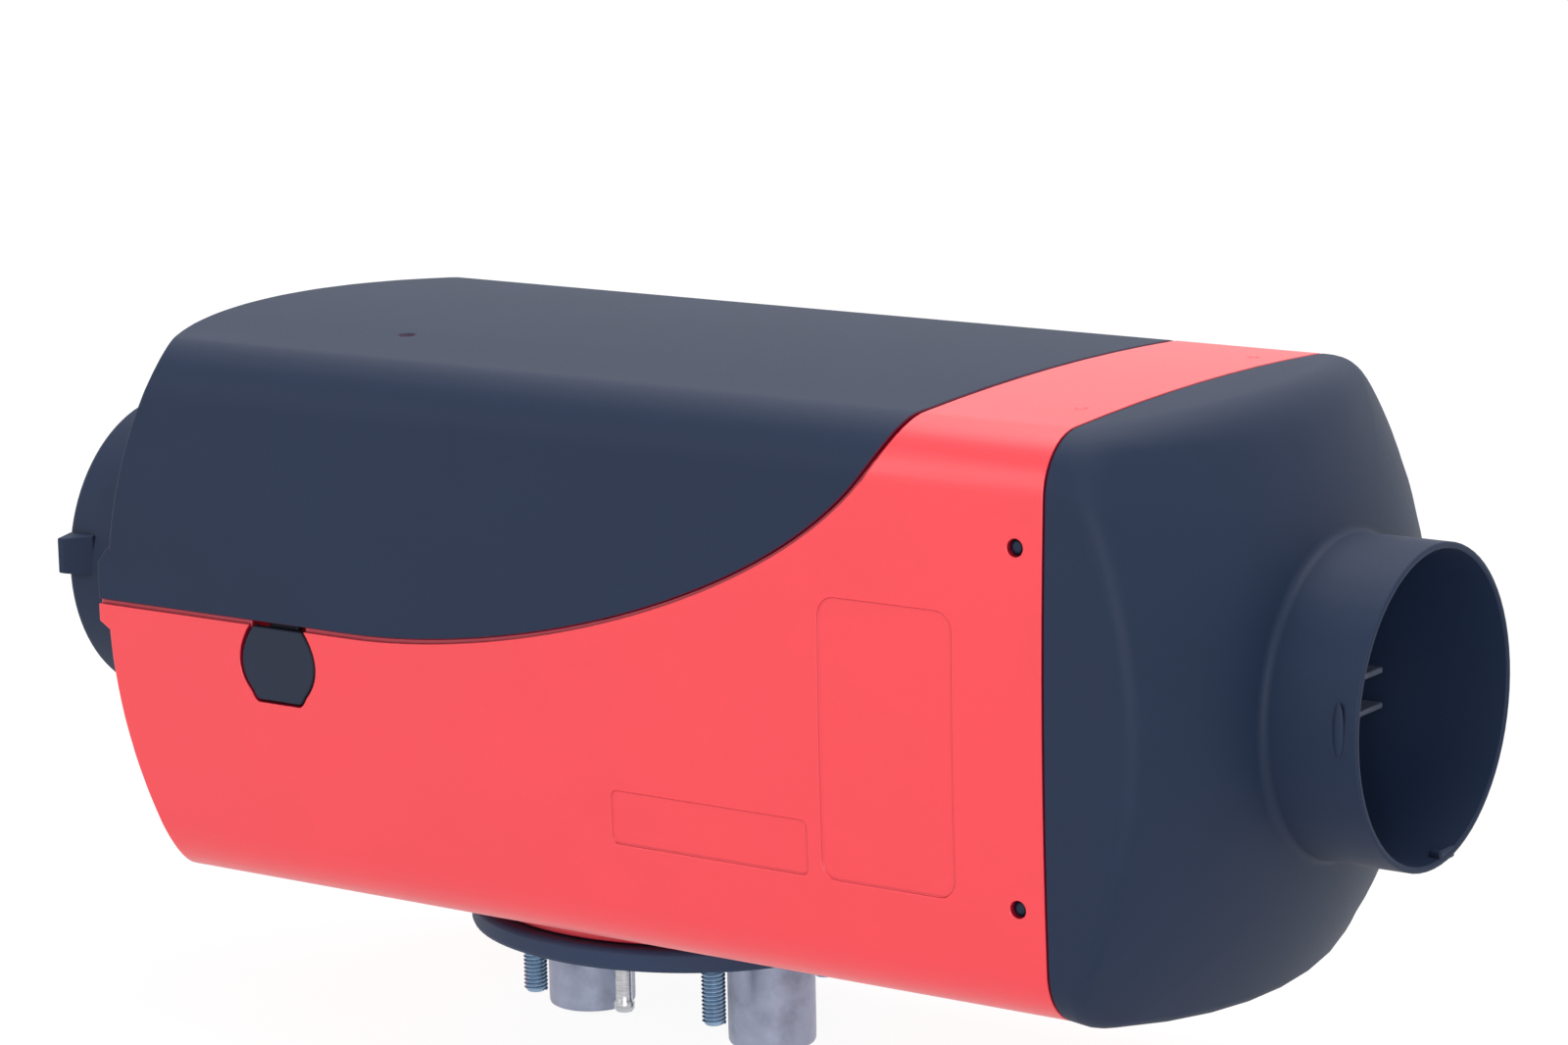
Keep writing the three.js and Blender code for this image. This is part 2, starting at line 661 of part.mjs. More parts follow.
// ---------------------------------------------------------------- hoods
// One hood as a loop of rings: outside from its joint over the rounded edge, the dome, the collar
// and the rim, and back inside to the skirt that plugs into the shell. side is +1 at the outlet
// and -1 at the inlet, and centreX is the middle of the dome's sphere. A shroud is a ring that
// stands inwards from the dome round the impeller.
function hoodBody({ side, centreX, radius, inset, baseX, skirtX, endX, round, shroud }) {
  const outline = sectionPoints(inset);
  const domeX = (point, r) => centreX + side * Math.sqrt(r * r - point.lengthSq());
  const ring = (points, toX) => points.map((point, k) => new THREE.Vector3(toX(point, k), point.x, point.y));
  const rings = [ring(outline, () => baseX)];
  const collar = circlePoints(collarRadius);
  const drawnIn = (k, share) => outline[k].clone().lerp(collar[k], share);
  const reach = outline.map((point, k) => {
    const length = point.distanceTo(collar[k]);
    const flank = side * (domeX(point, radius) - baseX);
    return Math.min(round, flankShare * flank) / length;
  });
  const edgeSteps = 3;
  for (let step = 0; step <= edgeSteps; step += 1) {
    const t = step / edgeSteps;
    rings.push(outline.map((point, k) => {
      const corner = new THREE.Vector3(domeX(point, radius), point.x, point.y);
      const size = reach[k] * point.distanceTo(collar[k]);
      const flank = corner.clone().setX(corner.x - side * size);
      const inward = drawnIn(k, reach[k]);
      const dome = new THREE.Vector3(domeX(inward, radius), inward.x, inward.y);
      return new THREE.QuadraticBezierCurve3(flank, corner, dome).getPoint(t);
    }));
  }
  const fillet = circlePoints(collarRadius + collarFillet);
  const domeSteps = 2;
  for (let step = 1; step <= domeSteps; step += 1) {
    const t = step / domeSteps;
    rings.push(ring(outline.map((_, k) => drawnIn(k, reach[k]).lerp(fillet[k], t)), (p) => domeX(p, radius)));
  }
  const collarFootX = domeX(collar[0], radius);
  const collarBaseX = collarFootX + side * collarFillet;
  const curve = new THREE.QuadraticBezierCurve(
    new THREE.Vector2(domeX(fillet[0], radius), collarRadius + collarFillet),
    new THREE.Vector2(collarFootX, collarRadius), new THREE.Vector2(collarBaseX, collarRadius));
  const halfway = curve.getPoint(1 / 2);
  rings.push(ring(circlePoints(halfway.y), () => halfway.x));
  rings.push(ring(collar, () => collarBaseX));
  rings.push(ring(collar, () => endX - side * rimRound));
  rings.push(ring(circlePoints(collarRadius - rimRound), () => endX));
  rings.push(ring(circlePoints(collarBore + rimRound), () => endX));
  const innerRadius = radius - wall;
  const bore = circlePoints(collarBore);
  rings.push(ring(bore, (point) => domeX(point, innerRadius)));
  if (shroud) {
    const [within, around] = [shroud.bore, shroud.bore + shroudThickness].map(circlePoints);
    rings.push(ring(within, (point) => domeX(point, innerRadius)), ring(within, () => shroud.endX),
      ring(around, () => shroud.endX), ring(around, (point) => domeX(point, innerRadius)));
  }
  const lining = sectionPoints(inset + skirtThickness + (skirtX === undefined ? 0 : wall + seatGap));
  rings.push(ring(lining, (point) => domeX(point, innerRadius)));
  if (skirtX !== undefined) {
    const plug = sectionPoints(inset + wall + seatGap);
    rings.push(ring(lining, () => skirtX), ring(plug, () => skirtX), ring(plug, () => baseX));
  } else {
    rings.push(ring(lining, () => baseX));
  }
  return skin(rings, true);
}

// The slim bump on each side of the outlet collar that keeps a pushed-on duct in place.
function collarBump(side) {
  const shape = new THREE.Shape();
  const y = collarRadius - fuse;
  shape.moveTo(y, bumpRise - bumpLength / 2);
  shape.quadraticCurveTo(collarRadius + 2 * bumpHeight, bumpRise, y, bumpRise + bumpLength / 2);
  const x = collarEndX - bumpInset;
  const bump = prismX(shape, x - bumpHeight, x + bumpHeight);
  return side > 0 ? bump : mirrorY(bump);
}

// The small lug inside the rim that a screen or a reducer can be turned against.
function rimLug() {
  const foot = -Math.sqrt(collarBore ** 2 - (rimLugY + rimLugWidth / 2) ** 2);
  const toX = collarEndX - rimRound;
  return box(toX - rimLugLength, toX, rimLugY - rimLugWidth / 2, rimLugY + rimLugWidth / 2,
    -collarRadius + fuse, foot + rimLugReach).intersect(rodX(inletApexX, far, collarRadius - fuse));
}

function outletHood() {
  const body = hoodBody({
    side: 1, centreX: outletCentreX, radius: outletRadius, inset: 0, round: edgeRound,
    baseX: hoodJointX + seatGap, skirtX: hoodJointX - skirtDepth, endX: collarEndX,
  });
  const pegs = snapHoles(snapHoleRadius - snapPegGap, fieldDepth + seatGap,
    wall + seatGap + skirtThickness / 2 + topCrown);
  return joined(body, pegs, collarBump(1), collarBump(-1), rimLug());
}

function inletHood() {
  return hoodBody({
    side: -1, centreX: inletCentreX, radius: inletRadius - hoodRecess, inset: wall + seatGap,
    round: edgeRound / 4, baseX: inletSkirtX, endX: inletCollarEndX,
    shroud: { bore: fanRadius + 3 * slideGap, endX: shroudEndX },
  });
}

// ---------------------------------------------------------------- intake grille
function intakeGrille() {
  const domeX = inletCentreX - Math.sqrt((inletRadius - hoodRecess) ** 2 - collarRadius ** 2);
  const openX = domeX - collarFillet - seatGap;
  const round = grilleRound * (1 - Math.SQRT1_2);
  const cup = turnedX([
    [grilleEndX, 0], [grilleEndX, grilleRadius - grilleRound], [grilleEndX + round, grilleRadius - round],
    [grilleEndX + grilleRound, grilleRadius], [openX, grilleRadius], [openX, 0],
  ]);
  const hollow = rodX(grilleEndX + grilleFace, openX + fuse, grilleBore, roundFacets);
  const mouth = rodX(grilleEndX - fuse, grilleEndX + grilleFace + fuse, collarBore, roundFacets);
  const pitch = (collarBore - grilleBoss) / grilleRings;
  const rings = [];
  for (let k = 1; k < grilleRings; k += 1) {
    const radius = grilleBoss + k * pitch;
    rings.push(ringX(grilleEndX + grilleFace / 3, grilleEndX + grilleFace, radius - grilleBar / 2,
      radius + grilleBar / 2, innerFacets));
  }
  const boss = rodX(grilleEndX, grilleEndX + grilleFace, grilleBoss, smallFacets);
  const spokes = Array.from({ length: grilleSpokes }, (_, k) =>
    box(grilleEndX, grilleEndX + grilleFace, -grilleBar / 2, grilleBar / 2, grilleBoss / 2, collarBore + fuse)
      .rotate([(360 * (k + 0.5)) / grilleSpokes, 0, 0]));
  return joined(cutBy(cup, hollow, mouth), boss, ...rings, ...spokes, grilleTab(1), grilleTab(-1));
}

// The tapered tab on each side of the grille, by which it is pulled off.
function grilleTab(side) {
  const shape = new THREE.Shape();
  const root = grilleRadius - grilleWall / 2;
  shape.moveTo(root, tabZ - tabHeight / 2);
  shape.lineTo(grilleRadius + fuse, tabZ - tabHeight / 2);
  shape.lineTo(grilleRadius + tabReach, tabZ - tabTipHeight / 2);
  shape.lineTo(grilleRadius + tabReach, tabZ + tabTipHeight / 2);
  shape.lineTo(grilleRadius + fuse, tabZ + tabHeight / 2);
  shape.lineTo(root, tabZ + tabHeight / 2);
  const tab = prismX(shape, grilleEndX + grilleRound / 2, grilleEndX + tabLength);
  return side > 0 ? tab : mirrorY(tab);
}

// ---------------------------------------------------------------- heat exchanger
// The space that the fins may fill: the casing's section drawn in, with a domed nose.
function finSpace() {
  const steps = 2;
  const rim = Math.hypot(casingHalfWidth, casingTop);
  const centre = finNoseX - outletRadius;
  const nose = [[exchangerFaceX, 0], [exchangerFaceX, rim]];
  for (let k = steps; k >= 0; k -= 1) {
    const r = (rim * k) / steps;
    nose.push([centre + Math.sqrt(outletRadius ** 2 - r * r), r]);
  }
  return prismX(casingSection(finInset), exchangerFaceX, finNoseX).intersect(turnedX(nose, smallFacets));
}

function exchangerFins() {
  const fromX = exchangerFaceX + exchangerFlangeThickness / 2;
  const half = finThickness / 2;
  const plates = [];
  for (let k = 0; k <= lastCoreFin; k += 1) {
    const offset = (k + 0.5) * finPitch;
    for (const side of [-1, 1]) {
      const place = side * offset;
      plates.push(box(fromX, far, place - half, place + half, -far, far));
      plates.push(...sideFins(fromX, place, half, exchangerRadius - finRunFromRim - offset / 2));
    }
  }
  const carrier = (lastCoreFin + 0.5) * finPitch;
  for (let k = 1; k <= cornerFins; k += 1) {
    for (const side of [-1, 1]) {
      plates.push(...sideFins(fromX, side * (carrier + k * finPitch), half, carrier));
    }
  }
  return joined(...plates).intersect(finSpace());
}

// A level fin on both flanks, from a start distance outwards.
const sideFins = (fromX, z, half, start) => [
  box(fromX, far, start, far, z - half, z + half),
  box(fromX, far, -far, -start, z - half, z + half),
];

function exchangerCore(radius, fromX, noseX) {
  const steps = 3;
  const profile = [[fromX, 0]];
  for (let k = 0; k <= steps; k += 1) {
    const angle = (k / steps) * (Math.PI / 2);
    profile.push([noseX - exchangerNoseLength * (1 - Math.sin(angle)), radius * Math.cos(angle)]);
  }
  profile[profile.length - 1][1] = 0;
  profile.splice(1, 0, [fromX, radius]);
  return turnedX(profile, innerFacets);
}

const screwPlaces = [45, 135, 225, 315].map((degrees) => THREE.MathUtils.degToRad(degrees))
  .map((angle) => [screwCircle * Math.cos(angle), screwCircle * Math.sin(angle)]);

function screwRods(fromX, toX, radius) {
  return screwPlaces.map(([y, z]) => rodX(fromX, toX, radius, tinyFacets).translate([0, y, z]));
}

function heatExchanger() {
  const core = exchangerCore(exchangerRadius, exchangerFaceX, exchangerNoseX);
  const chamber = exchangerCore(exchangerRadius - exchangerWall, exchangerFaceX - fuse,
    exchangerNoseX - exchangerWall);
  const flange = rodX(exchangerFaceX, exchangerFaceX + exchangerFlangeThickness, exchangerFlangeRadius);
  const ears = screwRods(exchangerFaceX, exchangerFaceX + screwGrip + seatGap + fuse, screwEarRadius);
  const ledgeBottom = floorAt(footHalfWidth + footLedge) + wall + seatGap;
  const ledge = ellipseRod(ledgeBottom, ledgeBottom + footLedgeHeight,
    footHalfLength + footLedge, footHalfWidth + footLedge);
  const foot = ellipseRod(footBottom, -exchangerRadius / 2, footHalfLength, footHalfWidth);
  const pipes = stubs.map(({ x, end }) => rodZ(end, -exchangerRadius, stubRadius, x, 0));
  const exhaust = rodZ(-far, -exchangerRadius / 2, stubRadius - stubWall, stubX, 0);
  const intake = rodZ(-far, channelZ, stubRadius - stubWall, -stubX, 0);
  const channel = rodX(exchangerFaceX, -stubX, airChannelRadius, smallFacets).translate([0, 0, channelZ]);
  const channelBore = rodX(exchangerFaceX - fuse, -stubX, airChannelBore, smallFacets).translate([0, 0, channelZ]);
  const boss = rodZ(0, glowBossTop, glowBossRadius, glowX, 0);
  const plugHole = rodZ(0, far, glowBodyRadius + seatGap, glowX, 0);
  const plugSpace = rodZ(glowBossTop, far, glowBossRadius, glowX, 0);
  const pad = box(sensorX - sensorLength, sensorX + sensorLength, -sensorWidth, sensorWidth, 0, sensorPadTop);
  const padSpace = box(sensorX - sensorLength, sensorX + sensorLength, -sensorWidth, sensorWidth, sensorPadTop, far);
  const body = joined(core, flange, exchangerFins(), ...ears, ledge, foot, ...pipes, channel, boss, pad);
  const studHoles = studPlaces.map(([x, y]) =>
    rodZ(-far, footBottom + studDepth + seatGap, studRadius + seatGap, x, y, tinyFacets));
  const screwHoles = screwRods(exchangerFaceX - fuse, exchangerFaceX + screwGrip + seatGap, screwRadius + seatGap);
  return cutBy(body, chamber, exhaust, intake, channelBore, plugHole, plugSpace, padSpace, ...studHoles,
    ...screwHoles, pipe(fuelPath(), fuelTubeRadius + slideGap, fuelSteps));
}

// ---------------------------------------------------------------- flange
const studPlaces = [[-studX, -studY], [studX, -studY], [studX, studY], [-studX, studY]];

function flangeGasket() {
  const plate = ellipseRod(gasketBottom, gasketTop, gasketHalfLength, gasketHalfWidth, roundFacets);
  const stubHoles = stubs.map(({ x }) => rodZ(-far, 0, stubRadius + seatGap, x, 0));
  const studHoles = studPlaces.map(([x, y]) => rodZ(-far, 0, studRadius + seatGap, x, y, tinyFacets));
  const tubeHole = rodZ(-far, 0, fuelTubeRadius + seatGap, fuelTubeX, fuelTubeY, tinyFacets);
  return cutBy(plate, ...stubHoles, ...studHoles, tubeHole);
}

function mountingStud([x, y]) {
  const chamfer = studRadius / 4;
  const [bottom, top] = [gasketBottom - studDrop, footBottom + studDepth];
  return turnedZ([
    [bottom, 0], [bottom, studRadius - chamfer], [bottom + chamfer, studRadius],
    [top - chamfer, studRadius], [top, studRadius - chamfer], [top, 0],
  ], x, y, tinyFacets);
}

// ---------------------------------------------------------------- burner
function burnerGasket() {
  return ringX(burnerGasketX - burnerGasketThickness, burnerGasketX,
    exchangerRadius - exchangerWall, burnerFlangeRadius);
}

function burnerTube() {
  const backX = burnerFlangeX - burnerFlangeThickness;
  const plate = ringX(backX, burnerFlangeX, burnerAirEye, burnerFlangeRadius);
  const tube = ringX(burnerFlangeX - fuse, burnerEndX, burnerRadius - burnerWall, burnerRadius);
  const hole = rodZ(0, far, glowBodyRadius + seatGap, glowX, 0);
  const fuelBoss = box(backX, burnerFlangeX, fuelTubeY - 2 * fuelTubeRadius, fuelTubeY + 2 * fuelTubeRadius,
    -burnerFlangeRadius, -burnerRadius);
  const airHoles = Array.from({ length: burnerHoles }, (_, k) =>
    rodZ(0, far, burnerHoleRadius, burnerHoleX, 0, tinyFacets / 2)
      .rotate([(360 * (k + 0.5)) / burnerHoles, 0, 0]));
  return cutBy(joined(plate, tube, fuelBoss), hole, ...airHoles);
}

function glowPlug() {
  const seat = glowBossTop + seatGap;
  const hexTop = seat + glowHexHeight;
  const body = turnedZ([
    [glowRodEnd, 0], [glowRodEnd, glowRodRadius / 2], [glowRodEnd + glowRodRadius / 2, glowRodRadius],
    [glowBossTop - glowBodyLength, glowRodRadius], [glowBossTop - glowBodyLength, glowBodyRadius],
    [seat + fuse, glowBodyRadius], [seat + fuse, 0],
  ], glowX, 0);
  const hex = rodZ(seat, hexTop, glowHexRadius, glowX, 0, 6);
  const pin = rodZ(hexTop - fuse, hexTop + glowPinHeight, glowPinRadius, glowX, 0, tinyFacets);
  return joined(body, hex, pin);
}

function glowPlugScreen() {
  const top = glowBossTop - glowBodyLength - seatGap;
  const outer = rodZ(top - screenLength, top, glowBodyRadius, glowX, 0);
  return outer.subtract(rodZ(top - screenLength - fuse, top + fuse, glowBodyRadius - screenWall, glowX, 0));
}

const fuelSteps = 16;

// From under the gasket up into the casing, then back below the exchanger and up to the burner.
function fuelPath() {
  const bottom = gasketBottom - fuelTubeDrop;
  const runZ = fuelRunZ;
  const endX = burnerFlangeX - burnerFlangeThickness / 2;
  const rimZ = -burnerFlangeRadius - seatGap;
  const at = (x, z) => new THREE.Vector3(x, fuelTubeY, z);
  const path = new THREE.CurvePath();
  path.add(new THREE.LineCurve3(at(fuelTubeX, bottom), at(fuelTubeX, runZ - fuelTubeBend)));
  path.add(new THREE.QuadraticBezierCurve3(at(fuelTubeX, runZ - fuelTubeBend), at(fuelTubeX, runZ),
    at(fuelTubeX - fuelTubeBend, runZ)));
  path.add(new THREE.LineCurve3(at(fuelTubeX - fuelTubeBend, runZ), at(endX + fuelTubeBend, runZ)));
  path.add(new THREE.QuadraticBezierCurve3(at(endX + fuelTubeBend, runZ), at(endX, runZ),
    at(endX, rimZ)));
  return path;
}

function fuelTube() {
  const bottom = gasketBottom - fuelTubeDrop;
  const nipple = rodZ(bottom, bottom + fuelNippleLength, fuelNippleRadius, fuelTubeX, fuelTubeY, tinyFacets);
  const bore = rodZ(bottom - fuse, bottom + 2 * fuelNippleLength, fuelTubeRadius / 2, fuelTubeX, fuelTubeY,
    tinyFacets / 2);
  return joined(pipe(fuelPath(), fuelTubeRadius, fuelSteps), nipple).subtract(bore);
}

function overheatSensor() {
  const bottom = sensorPadTop + seatGap;
  const shape = roundedRectangle(sensorX - sensorLength / 2, -sensorWidth / 2, sensorLength, sensorWidth,
    sensorWidth / 4);
  return prismZ(shape, bottom, bottom + sensorHeight, 3);
}

// A bent strip that holds the sensor down on its pad.
function sensorClip() {
  const shape = new THREE.Shape();
  const half = sensorLength / 2 + seatGap;
  const foot = sensorPadTop + seatGap;
  const top = foot + sensorHeight + seatGap;
  const footEnd = sensorLength - seatGap;
  shape.moveTo(sensorX - footEnd, foot);
  shape.lineTo(sensorX - half, foot);
  shape.lineTo(sensorX - half, top);
  shape.lineTo(sensorX + half, top);
  shape.lineTo(sensorX + half, foot);
  shape.lineTo(sensorX + footEnd, foot);
  shape.lineTo(sensorX + footEnd, foot + clipThickness);
  shape.lineTo(sensorX + half + clipThickness, foot + clipThickness);
  shape.lineTo(sensorX + half + clipThickness, top + clipThickness);
  shape.lineTo(sensorX - half - clipThickness, top + clipThickness);
  shape.lineTo(sensorX - half - clipThickness, foot + clipThickness);
  shape.lineTo(sensorX - footEnd, foot + clipThickness);
  return prismY(shape, -clipWidth / 2, clipWidth / 2);
}

// ---------------------------------------------------------------- blower
function blowerHousing() {
  const cup = rodX(housingBackX, housingX, blowerRadius);
  const hollow = rodX(housingBackX + blowerBack, housingX + fuse, blowerRadius - blowerWall);
  const hub = rodX(housingBackX, housingBackX + blowerHubDepth, blowerHubRadius, smallFacets);
  const ears = screwRods(housingBackX, housingBackX + screwEarDepth, screwEarRadius);
  const screwHoles = screwRods(-far, far, screwRadius + seatGap);
  const duct = rodX(housingBackX, exchangerFaceX - seatGap, airChannelRadius, smallFacets)
    .translate([0, 0, channelZ]);
  const ductBore = rodX(housingBackX + blowerBack, exchangerFaceX, airChannelBore, smallFacets)
    .translate([0, 0, channelZ]);
  const inletX = housingBackX + blowerDepth / 2;
  const rise = rodZ(channelZ, -wheelRadius, airChannelBore, inletX, 0, tinyFacets);
  const neck = rodZ(channelZ, -blowerRadius + blowerWall / 2, airChannelRadius, inletX, 0, tinyFacets);
  const shaftHole = rodX(-far, far, shaftRadius + slideGap, smallFacets);
  const seat = rodX(-far, housingBackX + bearingWidth + seatGap, bearingOuter + seatGap / 2, smallFacets);
  return cutBy(joined(cup.subtract(hollow), hub, ...ears, duct, neck.subtract(hollow)),
    ...screwHoles, ductBore, rise, shaftHole, seat);
}

const blowerCover = () => ringX(blowerFaceX - blowerCoverThickness, blowerFaceX, blowerEye, blowerRadius);

function blowerScrew([y, z]) {
  const headX = housingBackX - seatGap;
  const shank = rodX(headX - fuse, exchangerFaceX + screwGrip, screwRadius, tinyFacets);
  const head = rodX(headX - screwHeadHeight, headX, screwHeadRadius, tinyFacets);
  const socket = rodX(headX - screwHeadHeight - fuse, headX - screwHeadHeight / 2, screwRadius, 6);
  return joined(shank, head).subtract(socket).translate([0, y, z]);
}

// The combustion-air wheel: a plate with backward-swept blades.
function combustionWheel() {
  const tipX = housingX - wheelSetback;
  const plateX = tipX - wheelBladeHeight;
  const plate = rodX(plateX - wheelPlate, plateX, wheelRadius);
  const hub = rodX(plateX - wheelPlate, tipX, wheelHubRadius, smallFacets);
  const blades = Array.from({ length: wheelBlades }, (_, k) =>
    prismX(wheelBlade(), plateX - fuse, tipX).rotate([(360 * k) / wheelBlades, 0, 0]));
  return joined(plate, hub, ...blades)
    .subtract(rodX(-far, far, shaftRadius + seatGap / 2, smallFacets));
}

function wheelBlade() {
  const tip = wheelRadius - fuse;
  const end = new THREE.Vector2(tip * Math.cos(wheelBladeSweep), tip * Math.sin(wheelBladeSweep));
  const shape = new THREE.Shape();
  shape.moveTo(wheelBladeRoot, 0);
  shape.quadraticCurveTo((wheelBladeRoot + tip) / 2, 0, end.x, end.y);
  shape.lineTo(end.x - wheelBladeThickness, end.y);
  shape.quadraticCurveTo((wheelBladeRoot + tip) / 2 - wheelBladeThickness, wheelBladeThickness,
    wheelBladeRoot, wheelBladeThickness);
  return shape;
}

// ---------------------------------------------------------------- motor
function motorHousing() {
  const can = rodX(motorBackX, motorX, motorRadius);
  const flange = rodX(motorX - motorFlangeThickness, motorX, motorFlangeRadius);
  const hollow = rodX(motorBackX + motorWall, motorX + fuse, motorRadius - motorWall);
  const hub = rodX(motorBackX, motorBackX + bearingWidth + motorWall, motorHubRadius, smallFacets);
  const seat = rodX(motorBackX - fuse, motorBackX + bearingWidth + seatGap, bearingOuter + seatGap / 2, smallFacets);
  const shaftHole = rodX(-far, far, shaftRadius + slideGap, smallFacets);
  return cutBy(joined(joined(can, flange).subtract(hollow), hub), seat, shaftHole);
}

const bearingAt = (fromX) =>
  ringX(fromX, fromX + bearingWidth, shaftRadius + runGap, bearingOuter, smallFacets);

function motorMagnets() {
  const outer = motorRadius - motorWall - seatGap;
  const endX = motorX - motorFlangeThickness;
  return ringX(endX - magnetLength, endX, outer - magnetThickness, outer);
}

function motorArmature() {
  const endX = motorX - motorFlangeThickness - (magnetLength - armatureLength) / 2;
  const drum = rodX(endX - armatureLength, endX, armatureRadius, smallFacets);
  const slots = Array.from({ length: armatureSlots }, (_, k) =>
    box(-far, far, -armatureSlotWidth / 2, armatureSlotWidth / 2, armatureRadius / 2, far)
      .rotate([(360 * k) / armatureSlots, 0, 0]));
  return cutBy(drum, ...slots, rodX(-far, far, shaftRadius + seatGap / 2, smallFacets));
}

const motorShaft = () => rodX(shaftTipX, housingX - seatGap, shaftRadius, smallFacets);

// ---------------------------------------------------------------- hot-air impeller
// One blade as a loft of five-point foils from inside the hub out to the tip. It winds round the
// hub as it goes back, and its camber turns with it.
function fanBlade() {
  const stations = [fanHubFront - fuse, (fanHubFront + fanRadius) / 2, fanRadius];
  const rings = stations.map((radius) => {
    const chord = fanBladeStations.map((share) => {
      const angle = fanLead * share + fanCamber * Math.sin(Math.PI * share);
      return { share, angle, x: THREE.MathUtils.lerp(fanFrontX + fanBladeSetback, fanBackX - fanBladeSetback, share) };
    });
    const half = fanBladeThickness / 2 / radius;
    const foil = (side) => ({ share, angle, x }) => {
      const spread = side * half * (1 + fanBladeSwell * Math.sin(Math.PI * share));
      return new THREE.Vector3(x, radius * Math.cos(angle + spread), radius * Math.sin(angle + spread));
    };
    return [...chord.map(foil(-1)), ...chord.map(foil(1)).reverse()];
  });
  return skin(rings, false);
}

function hotAirImpeller() {
  const steps = 3;
  const cone = [[fanFrontX, 0]];
  for (let k = 0; k <= steps; k += 1) {
    const share = k / steps;
    const radius = fanHubFront + (fanHubBack - fanHubFront) * share * share;
    cone.push([fanFrontX + fanLength * share, radius]);
  }
  cone.push([fanBackX, 0]);
  const blades = Array.from({ length: fanBlades }, (_, k) =>
    fanBlade().rotate([(360 * k) / fanBlades, 0, 0]));
  return joined(turnedX(cone, fanBlades * 2), ...blades)
    .subtract(rodX(-far, far, shaftRadius + seatGap / 2, smallFacets));
}

function impellerNut() {
  const endX = fanFrontX - seatGap;
  const nut = rodX(endX - fanNutHeight, endX, fanNutHalfWidth / Math.cos(Math.PI / 6), 6);
  return nut.subtract(rodX(-far, far, shaftRadius + seatGap / 2, smallFacets));
}

// ---------------------------------------------------------------- control unit
function controlCase() {
  const [backX, frontX] = [controlFrontX - controlLength, controlFrontX];
  const half = controlWidth / 2;
  const top = controlBottomZ + controlHeight - controlLidThickness - seatGap;
  const outer = box(backX, frontX, -half, half, controlBottomZ, top);
  const hollow = box(backX + controlWall, frontX - controlWall, -half + controlWall, half - controlWall,
    controlBottomZ + controlWall, far);
  const saddleX = (housingX + housingBackX) / 2;
  const saddle = box(saddleX - controlSaddleWidth / 2, saddleX + controlSaddleWidth / 2,
    -controlSaddleReach, controlSaddleReach, blowerRadius - saddleDip, controlBottomZ + controlWall / 2);
  const drum = rodX(-far, far, blowerRadius + seatGap);
  return cutBy(outer, hollow).add(saddle.subtract(drum));
}

function controlLid() {
  const [backX, frontX] = [controlFrontX - controlLength, controlFrontX];
  const half = controlWidth / 2;
  const top = controlBottomZ + controlHeight;
  return box(backX, frontX, -half, half, top - controlLidThickness, top);
}

function controlBoard() {
  const inset = controlWall + seatGap;
  const bottom = controlBottomZ + controlWall + boardRise;
  const half = controlWidth / 2 - inset;
  const board = box(controlFrontX - controlLength + inset, controlFrontX - inset, -half, half,
    bottom, bottom + boardThickness);
  const pillar = (x, y) => rodZ(bottom - boardRise + seatGap, bottom + fuse, boardRise / 2, x, y, tinyFacets);
  const feet = [-1, 1].flatMap((along) => [-1, 1].map((across) =>
    pillar(controlFrontX - controlLength / 2 + along * (controlLength / 2 - 2 * inset - boardRise),
      across * (half - boardRise))));
  return joined(board, ...feet);
}

// ---------------------------------------------------------------- cable outlet
function cableGrommet() {
  const flangeRadius = grommetRadius + grommetFlange;
  const outside = floorAt(grommetY - flangeRadius) - seatGap;
  const inside = floorAt(grommetY + flangeRadius) + wall + seatGap;
  return turnedZ([
    [outside - grommetFlangeThickness, grommetBore], [outside - grommetFlangeThickness, grommetRadius],
    [outside - grommetFlangeThickness / 2, flangeRadius], [outside, flangeRadius], [outside, grommetRadius],
    [inside, grommetRadius], [inside, flangeRadius], [inside + grommetFlangeThickness, flangeRadius],
    [inside + grommetFlangeThickness, grommetBore], [outside - grommetFlangeThickness, grommetBore],
  ], grommetX, grommetY);
}

// ---------------------------------------------------------------- finishes
const finish = (color, roughness, metalness = 0) => new THREE.MeshStandardMaterial({ color, roughness, metalness });
const navyPlastic = () => finish(0x323c4f, 0.62);
const redPlastic = () => finish(0xf8525e, 0.6);
const castAluminium = () => finish(0x8f97a0, 0.5, 0.9);
const steel = () => finish(0x9aa0a6, 0.35, 1);
const zinc = () => finish(0x7f9cb8, 0.35, 0.9);
const blackRubber = () => finish(0x26242b, 0.85);
const heatSteel = () => finish(0x7d746c, 0.45, 0.95);
const blackPlastic = () => finish(0x1b1c20, 0.55);
const boardGreen = () => finish(0x1f5a3c, 0.5);
const magnetGrey = () => finish(0x4a4a4d, 0.6, 0.3);

// ---------------------------------------------------------------- assembly
const heater = new THREE.Group();
heater.position.z = axisHeight;

function place(name, solid, material) {
  const { numProp, vertProperties, triVerts } = solid.getMesh();
  const geometry = new THREE.BufferGeometry();
  const count = vertProperties.length / numProp;
  const positions = new Float32Array(3 * count);
  for (let k = 0; k < count; k += 1) {
    positions.set(vertProperties.subarray(numProp * k, numProp * k + 3), 3 * k);
  }
  geometry.setAttribute('position', new THREE.BufferAttribute(positions, 3));
  geometry.setIndex(new THREE.BufferAttribute(Uint32Array.from(triVerts), 1));
  geometry.computeVertexNormals();
  const mesh = new THREE.Mesh(geometry, material);
  mesh.name = name;
  heater.add(mesh);
}

